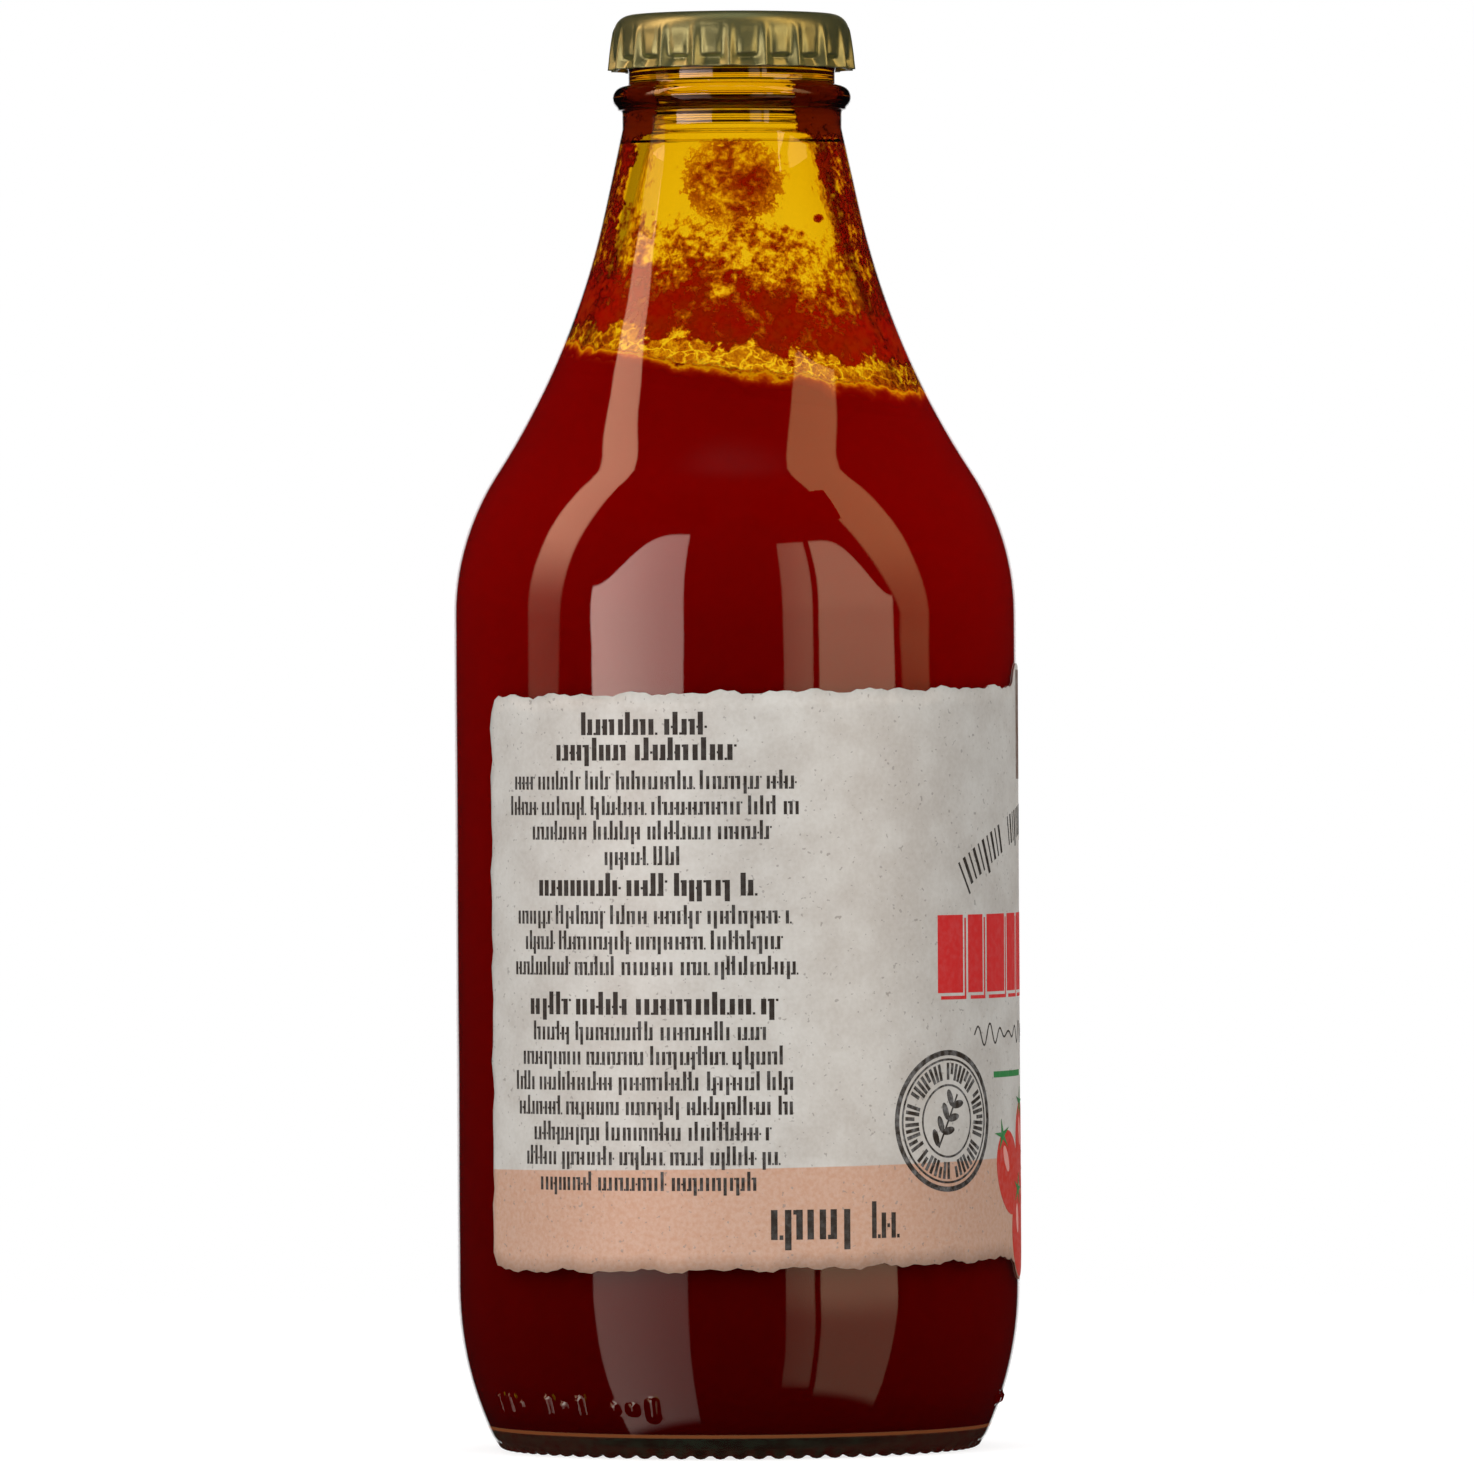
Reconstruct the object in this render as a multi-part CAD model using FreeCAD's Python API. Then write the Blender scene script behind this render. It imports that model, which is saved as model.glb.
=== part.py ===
import FreeCAD, Part
import math
import os

# A small amber glass bottle of tomato sauce, shut with a crimped crown cap and wrapped in a
# paper label. Z is up and the origin is the centre of the foot. Lengths are in millimetres.
# Angles are degrees round the bottle, from the -Y side towards +X.

Vector = FreeCAD.Vector

# Bottle, outside
BODY_DIAMETER = 65.0
HEEL_HEIGHT = 19.0            # table to the lower end of the upright wall
HEEL_RADIUS = 41.0
FOOT_ROUND = 2.4
LAND_WIDTH = 1.6              # flat ring of the foot
PUSH_UP = 2.8                 # hollow under the base
WALL_HEIGHT = 77.3            # the upright wall
SHOULDER_RADIUS = 30.0
NECK_HEIGHT = 46.9            # top of the upright wall to the neck's cone
CONE_FOOT_DIAMETER = 29.5
CONE_HEIGHT = 9.3
COLLAR_DIAMETER = 25.4
COLLAR_HEIGHT = 2.2

# Bottle, inside
BODY_WALL = 2.1
BASE_GLASS = 3.5
INNER_HEEL_ROUND = 6.0
NECK_WALL = 3.0
BORE_DIAMETER = 16.2
BORE_DEPTH = 8.0
MOUTH_ROUND = 0.9

# Crown finish
BEAD_HEIGHT = 2.8
BEAD_PROUD = 1.1              # beyond the collar
WAIST_DEPTH = 1.35            # in from the locking ring
WAIST_HEIGHT = 1.8
LOCK_SLOPE_HEIGHT = 2.4       # underside of the locking ring
LOCK_DIAMETER = 26.6
LOCK_HEIGHT = 1.3
LIP_HEIGHT = 2.4

# Stipple of the foot and raised mould marks on the heel
STIPPLE_COUNT = 76
STIPPLE_RADIUS = 1.25
STIPPLE_PROUD = 0.35
STIPPLE_INSET = 0.4           # out from the land's outer edge
MARK_HEIGHT = 5.9
MARK_PROUD = 0.45
MARK_RADIUS = 0.55
MARK_PITCH = 4.5              # degrees
BAR_MARK_LENGTH = 2.6
LEFT_MARKS_FROM = -64.0
LEFT_MARKS = "bar bar pip gap bar pip bar gap pip pip bar"
RIGHT_MARKS_FROM = 78.0
RIGHT_MARKS = "pip pip"

# Sauce
SAUCE_GAP = 0.1               # skin between the sauce and the glass
SAUCE_RISE = 27.3             # mean level above the top of the upright wall
SAUCE_TILT = 8.6              # high on the -X side

# Crown cap
CAP_FLUTES = 21
CAP_FLUTE_STEPS = 8           # sections of one flute's curve
CAP_THICKNESS = 0.25
CAP_SEAT = 0.05               # cap to glass, on the lip and round the locking ring
CAP_EDGE_ROUND = 2.0
CAP_EDGE_STEPS = 5
CAP_SKIRT_DEPTH = 6.4         # top to rim
CAP_SKIRT_STEPS = 8
CAP_RIDGE_POWER = 1.6         # narrow ridges, wide valleys
CAP_FLARE = 0.75              # ridges at the rim, out from the skirt's top
CAP_TUCK = 0.35               # valleys at the rim, in under the locking ring
CAP_TUCK_DEPTH = 1.6
CAP_RIDGE_ANGLE = -1.0

# Label
LABEL_GAP = 0.05
LABEL_THICKNESS = 0.12
LABEL_FRONT = 93.0
LABEL_SWEEP = 304.0
LABEL_FOOT_MARGIN = 2.4       # above the lower end of the upright wall, at the label's start
LABEL_HEAD_MARGIN = 9.3       # below its upper end, there
LABEL_RISE = 2.0              # from its start to its end, as it is stuck on askew
LABEL_CORNER = 2.0
LABEL_STEP = 1.5              # along the edge, between sections
EDGE_WAVE = 0.3
EDGE_WAVE_LENGTH = 7.0
EDGE_BEAT_LENGTH = 25.0
TAB_WIDTH = 14.0
TAB_RISE = 2.3
TAB_RAMP = 2.0
LOBE_WIDTH = 9.0
LOBE_DROP = 2.9
LOBE_SPACING = 13.0

# Worked out from the above
body_radius = BODY_DIAMETER / 2
heel_top = HEEL_HEIGHT
wall_top = heel_top + WALL_HEIGHT
cone_foot = wall_top + NECK_HEIGHT
cone_top = cone_foot + CONE_HEIGHT
bead_foot = cone_top + COLLAR_HEIGHT
bead_top = bead_foot + BEAD_HEIGHT
waist_top = bead_top + WAIST_HEIGHT
lock_foot = waist_top + LOCK_SLOPE_HEIGHT
lock_top = lock_foot + LOCK_HEIGHT
lip = lock_top + LIP_HEIGHT
cap_top = lip + CAP_SEAT + CAP_THICKNESS


class Outline:
    """Half-section of a turned piece, drawn from the axis outwards in the XZ plane."""

    def __init__(self, radius, height):
        self.start = Vector(radius, 0, height)
        self.end = self.start
        self.edges = []

    def line_to(self, radius, height):
        target = Vector(radius, 0, height)
        self.edges.append(Part.makeLine(self.end, target))
        self.end = target

    def arc_to(self, centre, radius, height):
        """Add the shorter arc about centre, which is a (radius, height) pair."""
        hub = Vector(centre[0], 0, centre[1])
        target = Vector(radius, 0, height)
        middle = (self.end - hub) + (target - hub)
        middle.normalize()
        crest = hub + middle * (target - hub).Length
        self.edges.append(Part.Arc(self.end, crest, target).toShape())
        self.end = target

    def spin(self):
        """Close the outline along the axis and turn it into a solid."""
        self.line_to(self.start.x, self.start.z)
        face = Part.Face(Part.Wire(self.edges))
        return face.revolve(Vector(0, 0, 0), Vector(0, 0, 1), 360)


def dome_out(outline, rise, radius):
    """Leave the axis level, and sink by rise to a level end at radius, by two equal arcs."""
    top = outline.end.z
    half_run = radius / 2
    half_rise = rise / 2
    bend = (half_run ** 2 + half_rise ** 2) / rise
    outline.arc_to((0, top - bend), half_run, top - half_rise)
    outline.arc_to((radius, top - rise + bend), radius, top - rise)


def heel_corner(inset, floor, corner):
    """Centre and upper end of the round between a level floor and the heel sunk by inset."""
    sweep = HEEL_RADIUS - inset
    hub = body_radius - HEEL_RADIUS
    run = math.sqrt((sweep - corner) ** 2 - (heel_top - floor - corner) ** 2)
    reach = sweep / (sweep - corner)
    centre = (hub + run, floor + corner)
    end = (hub + run * reach, heel_top - (heel_top - floor - corner) * reach)
    return centre, end


def neck_sweep(inset, foot_radius, top_radius, rise):
    """Arc from the shoulder, sunk by inset, to the foot of a cone that rises to top_radius.

    Returns the arc's centre and the point where it leaves the shoulder.
    """
    shoulder = SHOULDER_RADIUS - inset
    hub = (body_radius - SHOULDER_RADIUS, wall_top)
    side = math.hypot(foot_radius - top_radius, rise)
    normal = (rise / side, (foot_radius - top_radius) / side)
    offset = (foot_radius - hub[0], cone_foot - hub[1])
    across = offset[0] * normal[0] + offset[1] * normal[1]
    bend = (offset[0] ** 2 + offset[1] ** 2 - shoulder ** 2) / (2 * (shoulder - across))
    centre = (foot_radius + bend * normal[0], cone_foot + bend * normal[1])
    share = shoulder / (shoulder + bend)
    leave = tuple(h + (c - h) * share for h, c in zip(hub, centre))
    return centre, leave


def add_wall(outline, inset, floor, corner, foot_radius, top_radius, rise):
    """Draw the heel, the upright wall, the shoulder and the neck, all sunk by inset."""
    corner_centre, corner_end = heel_corner(inset, floor, corner)
    outline.arc_to(corner_centre, *corner_end)
    outline.arc_to((body_radius - HEEL_RADIUS, heel_top), body_radius - inset, heel_top)
    outline.line_to(body_radius - inset, wall_top)
    centre, leave = neck_sweep(inset, foot_radius, top_radius, rise)
    outline.arc_to((body_radius - SHOULDER_RADIUS, wall_top), *leave)
    outline.arc_to(centre, foot_radius, cone_foot)
    outline.line_to(top_radius, cone_foot + rise)


def outer_shape():
    """The bottle's outside as a solid, with its crown finish."""
    corner_centre, _ = heel_corner(0, STIPPLE_PROUD, FOOT_ROUND)
    land_outer = corner_centre[0]
    outline = Outline(0, STIPPLE_PROUD + PUSH_UP)
    dome_out(outline, PUSH_UP, land_outer - LAND_WIDTH)
    outline.line_to(land_outer, STIPPLE_PROUD)
    collar = COLLAR_DIAMETER / 2
    add_wall(outline, 0, STIPPLE_PROUD, FOOT_ROUND, CONE_FOOT_DIAMETER / 2, collar, CONE_HEIGHT)
    outline.line_to(collar, bead_foot)
    bead_middle = (collar + BEAD_PROUD - BEAD_HEIGHT / 2, bead_foot + BEAD_HEIGHT / 2)
    outline.line_to(bead_middle[0], bead_foot)
    outline.arc_to(bead_middle, collar + BEAD_PROUD, bead_middle[1])
    outline.arc_to(bead_middle, bead_middle[0], bead_top)
    lock = LOCK_DIAMETER / 2
    waist = lock - WAIST_DEPTH
    outline.line_to(waist, bead_top)
    outline.line_to(waist, waist_top)
    outline.line_to(lock, lock_foot)
    outline.line_to(lock, lock_top)
    outline.arc_to((lock - LIP_HEIGHT, lock_top), lock - LIP_HEIGHT, lip)
    outline.line_to(0, lip)
    return outline.spin()


def inner_shape(gap):
    """The room inside the bottle as a solid, smaller all round by gap."""
    bore = BORE_DIAMETER / 2 - gap
    inset = BODY_WALL + gap
    floor = STIPPLE_PROUD + BASE_GLASS + gap
    corner = INNER_HEEL_ROUND - gap
    corner_centre, _ = heel_corner(inset, floor, corner)
    outline = Outline(0, floor + PUSH_UP)
    dome_out(outline, PUSH_UP, corner_centre[0])
    neck_foot = CONE_FOOT_DIAMETER / 2 - NECK_WALL - gap
    add_wall(outline, inset, floor, corner, neck_foot, bore, lip - BORE_DEPTH - cone_foot)
    outline.line_to(bore, lip - MOUTH_ROUND)
    outline.arc_to((bore + MOUTH_ROUND, lip - MOUTH_ROUND), bore + MOUTH_ROUND, lip)
    outline.line_to(0, lip)
    return outline.spin()


def stipple():
    """Ring of small knobs under the foot, which the bottle stands on."""
    corner_centre, _ = heel_corner(0, STIPPLE_PROUD, FOOT_ROUND)
    radius = corner_centre[0] + STIPPLE_INSET
    knob = Part.makeSphere(STIPPLE_RADIUS, Vector(radius, 0, STIPPLE_RADIUS))
    return [turned(knob, 360 * i / STIPPLE_COUNT) for i in range(STIPPLE_COUNT)]


def turned(shape, angle):
    """A copy of shape, turned about Z."""
    copy = shape.copy()
    copy.rotate(Vector(0, 0, 0), Vector(0, 0, 1), angle)
    return copy


def heel_radius_at(height):
    """Radius of the heel's outside at a height."""
    return body_radius - HEEL_RADIUS + math.sqrt(HEEL_RADIUS ** 2 - (heel_top - height) ** 2)


def mould_marks():
    """Raised pips and upright bars on the heel, standing straight out of the glass."""
    reach = heel_radius_at(MARK_HEIGHT)
    tilt = math.degrees(math.asin((heel_top - MARK_HEIGHT) / HEEL_RADIUS))
    depth = BODY_WALL / 2
    pip = Part.makeCylinder(MARK_RADIUS, depth + MARK_PROUD, Vector(0, 0, -depth))
    half = BAR_MARK_LENGTH / 2 - MARK_RADIUS
    foot = Vector(-half, -MARK_RADIUS, -depth)
    bar = Part.makeBox(2 * half, 2 * MARK_RADIUS, depth + MARK_PROUD, foot)
    for end in (-half, half):
        bar = bar.fuse(Part.makeCylinder(MARK_RADIUS, depth + MARK_PROUD, Vector(end, 0, -depth)))
    shapes = {"pip": pip, "bar": bar.removeSplitter()}
    marks = []
    for start, row in ((LEFT_MARKS_FROM, LEFT_MARKS), (RIGHT_MARKS_FROM, RIGHT_MARKS)):
        for i, kind in enumerate(row.split()):
            if kind == "gap":
                continue
            mark = shapes[kind].copy()
            mark.rotate(Vector(0, 0, 0), Vector(0, 1, 0), 90 + tilt)
            mark.translate(Vector(reach, 0, MARK_HEIGHT))
            marks.append(turned(mark, start + i * MARK_PITCH - 90))
    return marks


def make_bottle():
    """The glass: outside, stipple and marks, less the room inside."""
    body = outer_shape().fuse(stipple() + mould_marks())
    return body.cut(inner_shape(0))


def make_sauce():
    """The room inside, up to a slanting level."""
    level = wall_top + SAUCE_RISE
    keep = Part.makeBox(BODY_DIAMETER * 2, BODY_DIAMETER * 2, level * 2)
    keep.translate(Vector(-BODY_DIAMETER, -BODY_DIAMETER, -level * 2))
    keep.rotate(Vector(0, 0, 0), Vector(0, 1, 0), SAUCE_TILT)
    keep.translate(Vector(0, 0, level))
    return inner_shape(SAUCE_GAP).common(keep)


def bump(distance, width):
    """Smooth hump, 1 in its middle and 0 from half its width outwards."""
    share = min(abs(distance) * 2 / width, 1)
    return 0.5 + 0.5 * math.cos(math.pi * share)


def fluted_wire(height, valley, ridge):
    """Closed level curve that swings between two radii once for each flute."""
    count = CAP_FLUTES * CAP_FLUTE_STEPS
    points = []
    for i in range(count):
        swing = (0.5 + 0.5 * math.cos(2 * math.pi * i / CAP_FLUTE_STEPS)) ** CAP_RIDGE_POWER
        radius = valley + (ridge - valley) * swing
        angle = math.radians(CAP_RIDGE_ANGLE - 90 + 360 * i / count)
        points.append(Vector(radius * math.cos(angle), radius * math.sin(angle), height))
    curve = Part.BSplineCurve()
    curve.interpolate(Points=points, PeriodicFlag=True, Parameters=list(range(count + 1)))
    return Part.Wire(curve.toShape())


def cap_skin(inset):
    """The crown cap as a solid, sunk by inset on every side but its open rim."""
    hug = LOCK_DIAMETER / 2 + CAP_SEAT + CAP_THICKNESS - inset
    corner = CAP_EDGE_ROUND - inset
    top = cap_top - inset
    sections = []
    for i in range(CAP_EDGE_STEPS):
        angle = math.pi / 2 * (1 - i / CAP_EDGE_STEPS)
        radius = hug - corner * (1 - math.cos(angle))
        sections.append(fluted_wire(top - corner * (1 - math.sin(angle)), radius, radius))
    skirt_top = top - corner
    skirt_foot = cap_top - CAP_SKIRT_DEPTH
    tuck_from = lock_foot + CAP_SEAT
    for i in range(CAP_SKIRT_STEPS + 1):
        height = skirt_top + (skirt_foot - skirt_top) * i / CAP_SKIRT_STEPS
        flare = CAP_FLARE * math.sin(math.pi / 2 * i / CAP_SKIRT_STEPS)
        tuck = CAP_TUCK * (1 - bump(max(tuck_from - height, 0), 2 * CAP_TUCK_DEPTH))
        sections.append(fluted_wire(height, hug - tuck, hug + flare))
    return Part.makeLoft(sections, True, False)


def make_cap():
    """The crown cap as an even shell."""
    return cap_skin(0).cut(cap_skin(CAP_THICKNESS))


def ripple(run, phase):
    """Uneven wave of the label's torn edge, between -1 and 1."""
    turn = 2 * math.pi * run
    return math.sin(turn / EDGE_WAVE_LENGTH + phase) * math.cos(turn / EDGE_BEAT_LENGTH + phase)


def label_edges(run, length):
    """Lower and upper edge of the label at a run along its length."""
    rise = LABEL_RISE * run / length
    low = heel_top + LABEL_FOOT_MARGIN + rise + EDGE_WAVE * ripple(run, 0)
    high = wall_top - LABEL_HEAD_MARGIN + rise + EDGE_WAVE * ripple(run, 1)
    from_front = run - length / 2
    high += TAB_RISE * bump(max(abs(from_front) - TAB_WIDTH / 2, 0), 2 * TAB_RAMP)
    for side in (-0.5, 0.5):
        low -= LOBE_DROP * bump(from_front - side * LOBE_SPACING, LOBE_WIDTH)
    return low, high


def corner_cutter(edge, side, up):
    """What a round corner takes off an end of the label that points along +X.

    edge is the height of the label's edge, side is which end it is and up is the way from the
    edge into the label, both 1 or -1.
    """
    reach = body_radius + LABEL_GAP + LABEL_THICKNESS * 2
    size = LABEL_CORNER + EDGE_WAVE * 2
    block = Part.makeBox(reach, size, size)
    block.translate(Vector(0, EDGE_WAVE * 2 - size if side > 0 else -EDGE_WAVE * 2, 0))
    block.translate(Vector(0, 0, edge - EDGE_WAVE * 2 if up > 0 else edge + EDGE_WAVE * 2 - size))
    hub = Vector(0, -side * LABEL_CORNER, edge + up * LABEL_CORNER)
    return block.cut(Part.makeCylinder(LABEL_CORNER, reach, hub, Vector(1, 0, 0)))


def make_label():
    """Paper strip with wavy edges and round corners, wrapped round the upright wall."""
    inner = body_radius + LABEL_GAP
    outer = inner + LABEL_THICKNESS
    length = math.radians(LABEL_SWEEP) * outer
    count = round(length / LABEL_STEP)
    sections = []
    for i in range(count + 1):
        run = length * i / count
        low, high = label_edges(run, length)
        angle = math.radians(LABEL_FRONT - LABEL_SWEEP / 2 - 90) + run / outer
        out = Vector(math.cos(angle), math.sin(angle), 0)
        corners = [out * inner, out * outer, out * outer, out * inner]
        for corner, height in zip(corners, (low, low, high, high)):
            corner.z = height
        sections.append(Part.makePolygon(corners + [corners[0]]))
    strip = Part.makeLoft(sections, True, True)
    cutters = []
    for side, run in ((-1, LABEL_CORNER), (1, length - LABEL_CORNER)):
        angle = LABEL_FRONT - 90 + side * LABEL_SWEEP / 2
        for edge, up in zip(label_edges(run, length), (1, -1)):
            cutters.append(turned(corner_cutter(edge, side, up), angle))
    return strip.cut(cutters)


os.makedirs("parts", exist_ok=True)
make_bottle().exportStep("parts/bottle.step")
make_sauce().exportStep("parts/sauce.step")
make_cap().exportStep("parts/crown_cap.step")
make_label().exportStep("parts/label.step")
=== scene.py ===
"""Looks of a small amber bottle of tomato sauce with a crown cap and a wrapped paper label."""

import logging
import math
import random
from dataclasses import dataclass
from enum import Enum

import bmesh
import bpy
from mathutils import Matrix, Vector


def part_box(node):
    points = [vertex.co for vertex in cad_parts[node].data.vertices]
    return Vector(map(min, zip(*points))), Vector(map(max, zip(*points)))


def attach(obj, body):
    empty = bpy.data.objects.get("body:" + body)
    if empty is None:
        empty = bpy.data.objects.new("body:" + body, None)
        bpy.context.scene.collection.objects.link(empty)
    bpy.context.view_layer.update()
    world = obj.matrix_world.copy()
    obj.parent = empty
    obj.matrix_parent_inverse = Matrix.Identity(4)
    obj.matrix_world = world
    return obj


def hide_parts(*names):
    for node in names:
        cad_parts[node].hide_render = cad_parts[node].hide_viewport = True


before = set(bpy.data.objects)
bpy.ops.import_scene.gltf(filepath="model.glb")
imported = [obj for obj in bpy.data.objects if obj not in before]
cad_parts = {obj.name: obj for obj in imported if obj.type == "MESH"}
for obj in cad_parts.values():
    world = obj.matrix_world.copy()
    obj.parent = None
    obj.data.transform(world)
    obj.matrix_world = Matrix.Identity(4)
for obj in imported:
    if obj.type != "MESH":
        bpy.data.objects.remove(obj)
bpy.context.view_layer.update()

Colour = tuple[float, float, float]
Pair = tuple[float, float]

MM = 0.001
WHITE = (1.0, 1.0, 1.0)
ROOT = "root"
LOG = logging.getLogger("bottle")
SAUCE_TILT = math.radians(8.6)
SAUCE_ABOVE_WALL = 27.3 * MM
LABEL_ABOVE_HEEL = 2.4 * MM
LABEL_BELOW_SHOULDER = 9.3 * MM
BAND_TOP = 33.3 * MM


class Slot(Enum):
    """Material slots of the record."""

    GLASS = "amber_glass"
    SAUCE = "tomato_sauce"
    CAP = "gold_cap"
    PAPER = "label_paper"


class Mark(Enum):
    """Raised marks of the mould, and the gap between two groups of them."""

    PIP = "pip"
    BAR = "bar"
    GAP = "gap"


def hump(distance: float, width: float) -> float:
    """Smooth hump.

    Args:
        distance: how far from its middle.
        width: its full width, in the same unit.

    Returns:
        1 in the middle, falling to 0 at half the width and beyond.
    """
    share = min(abs(distance) * 2 / width, 1)
    return 0.5 + 0.5 * math.cos(math.pi * share)


def side_point(radius: float, angle: float, height: float) -> Vector:
    """Point on a cylinder about Z.

    Args:
        radius: distance from the axis.
        angle: radians from -Y towards +X.
        height: height above the table.
    """
    return Vector((radius * math.sin(angle), -radius * math.cos(angle), height))


def cut(bm: bmesh.types.BMesh, point: Vector, normal: Vector, **side: bool) -> None:
    """Cut a mesh along a plane.

    Args:
        bm: the mesh.
        point: a point of the plane.
        normal: the plane's normal.
        side: which side is cleared away, as clear_inner or clear_outer.
    """
    geom = bm.verts[:] + bm.edges[:] + bm.faces[:]
    bmesh.ops.bisect_plane(bm, geom=geom, plane_co=point, plane_no=normal, **side)


def slant(tilt: float) -> Vector:
    """Normal of a surface that falls towards +X by an angle in radians."""
    return Vector((math.sin(tilt), 0, math.cos(tilt)))


class Outline:
    """Half-section of a turned piece, as points from its start onwards."""

    def __init__(self, radius: float, height: float) -> None:
        """Start at a radius and a height."""
        self.points: list[Pair] = [(radius, height)]

    def line(self, radius: float, height: float, steps: int = 1) -> None:
        """Add a straight run in equal steps.

        Args:
            radius: where it ends.
            height: where it ends.
            steps: number of equal steps.
        """
        r, z = self.points[-1]
        for i in range(1, steps + 1):
            share = i / steps
            self.points.append((r + (radius - r) * share, z + (height - z) * share))

    def arc(self, centre: Pair, radius: float, height: float, steps: int) -> None:
        """Add the shorter arc about a centre.

        Args:
            centre: radius and height of the arc's centre.
            radius: where it ends.
            height: where it ends.
            steps: number of equal steps.
        """
        r, z = self.points[-1]
        start = math.atan2(z - centre[1], r - centre[0])
        turn = math.atan2(height - centre[1], radius - centre[0]) - start
        turn = (turn + math.pi) % (2 * math.pi) - math.pi
        reach = math.hypot(radius - centre[0], height - centre[1])
        for i in range(1, steps + 1):
            angle = start + turn * i / steps
            self.points.append((centre[0] + reach * math.cos(angle), centre[1] + reach * math.sin(angle)))

    def corner(self, corner: Pair, onward: Pair, bend: float, steps: int = 4) -> None:
        """Add a softened corner.

        Args:
            corner: the sharp corner's radius and height.
            onward: a point that the outline goes on towards.
            bend: how far from the corner the softening starts.
            steps: number of steps round it.
        """
        middle = Vector(corner)
        first = middle + (Vector(self.points[-1]) - middle).normalized() * bend
        last = middle + (Vector(onward) - middle).normalized() * bend
        for i in range(steps + 1):
            t = i / steps
            spot = first * (1 - t) ** 2 + middle * 2 * t * (1 - t) + last * t ** 2
            self.points.append((spot.x, spot.y))

    def radius_at(self, height: float) -> float:
        """Radius of a rising outline at a height, by straight runs between its points.

        Args:
            height: the height.

        Returns:
            The radius there, or the last one above the outline.
        """
        for (r0, z0), (r1, z1) in zip(self.points, self.points[1:]):
            if z0 <= height <= z1 and z1 > z0:
                return r0 + (r1 - r0) * (height - z0) / (z1 - z0)
        return self.points[-1][0]

    def spin(self, steps: int) -> bmesh.types.BMesh:
        """Turn the outline about Z.

        Args:
            steps: number of faces round the axis.

        Returns:
            A closed mesh with its faces pointing outwards.
        """
        bm = bmesh.new()
        verts = [bm.verts.new(side_point(r, 0, z)) for r, z in self.points]
        edges = [bm.edges.new(pair) for pair in zip(verts, verts[1:])]
        bmesh.ops.spin(bm, geom=verts + edges, axis=(0, 0, 1), cent=(0, 0, 0), steps=steps,
                       angle=2 * math.pi, use_merge=True)
        bmesh.ops.remove_doubles(bm, verts=bm.verts, dist=0.5e-6)
        bmesh.ops.recalc_face_normals(bm, faces=bm.faces)
        return bm


def finish_mesh(name: str, bm: bmesh.types.BMesh, material: bpy.types.Material,
                smooth: bool = True) -> bpy.types.Object:
    """Turn a bmesh into a piece that rides on the bottle.

    Args:
        name: the piece's name.
        bm: its mesh, which is freed.
        material: its finish.
        smooth: whether its faces are shaded smooth.

    Returns:
        The new object.
    """
    mesh = bpy.data.meshes.new(name)
    for face in bm.faces:
        face.smooth = smooth
    bm.to_mesh(mesh)
    bm.free()
    mesh.materials.append(material)
    piece = bpy.data.objects.new(name, mesh)
    bpy.context.scene.collection.objects.link(piece)
    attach(piece, ROOT)
    LOG.info("%s: %d faces", name, len(mesh.polygons))
    return piece


class Signal:
    """Output of a node, which plain arithmetic extends by Math nodes."""

    def __init__(self, nodes: "Nodes", socket: bpy.types.NodeSocket) -> None:
        """Wrap a socket of a tree."""
        self.nodes, self.socket = nodes, socket

    def __add__(self, other: "Signal | float") -> "Signal":
        """Sum."""
        return self.nodes.math("ADD", self, other)

    def __sub__(self, other: "Signal | float") -> "Signal":
        """Difference."""
        return self.nodes.math("SUBTRACT", self, other)

    def __rsub__(self, other: float) -> "Signal":
        """Difference from a number."""
        return self.nodes.math("SUBTRACT", other, self)

    def __mul__(self, other: "Signal | float") -> "Signal":
        """Product."""
        return self.nodes.math("MULTIPLY", self, other)

    def __truediv__(self, other: "Signal | float") -> "Signal":
        """Quotient."""
        return self.nodes.math("DIVIDE", self, other)

    def __abs__(self) -> "Signal":
        """Size without its sign."""
        return self.nodes.math("ABSOLUTE", self)

    __radd__ = __add__
    __rmul__ = __mul__


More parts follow.
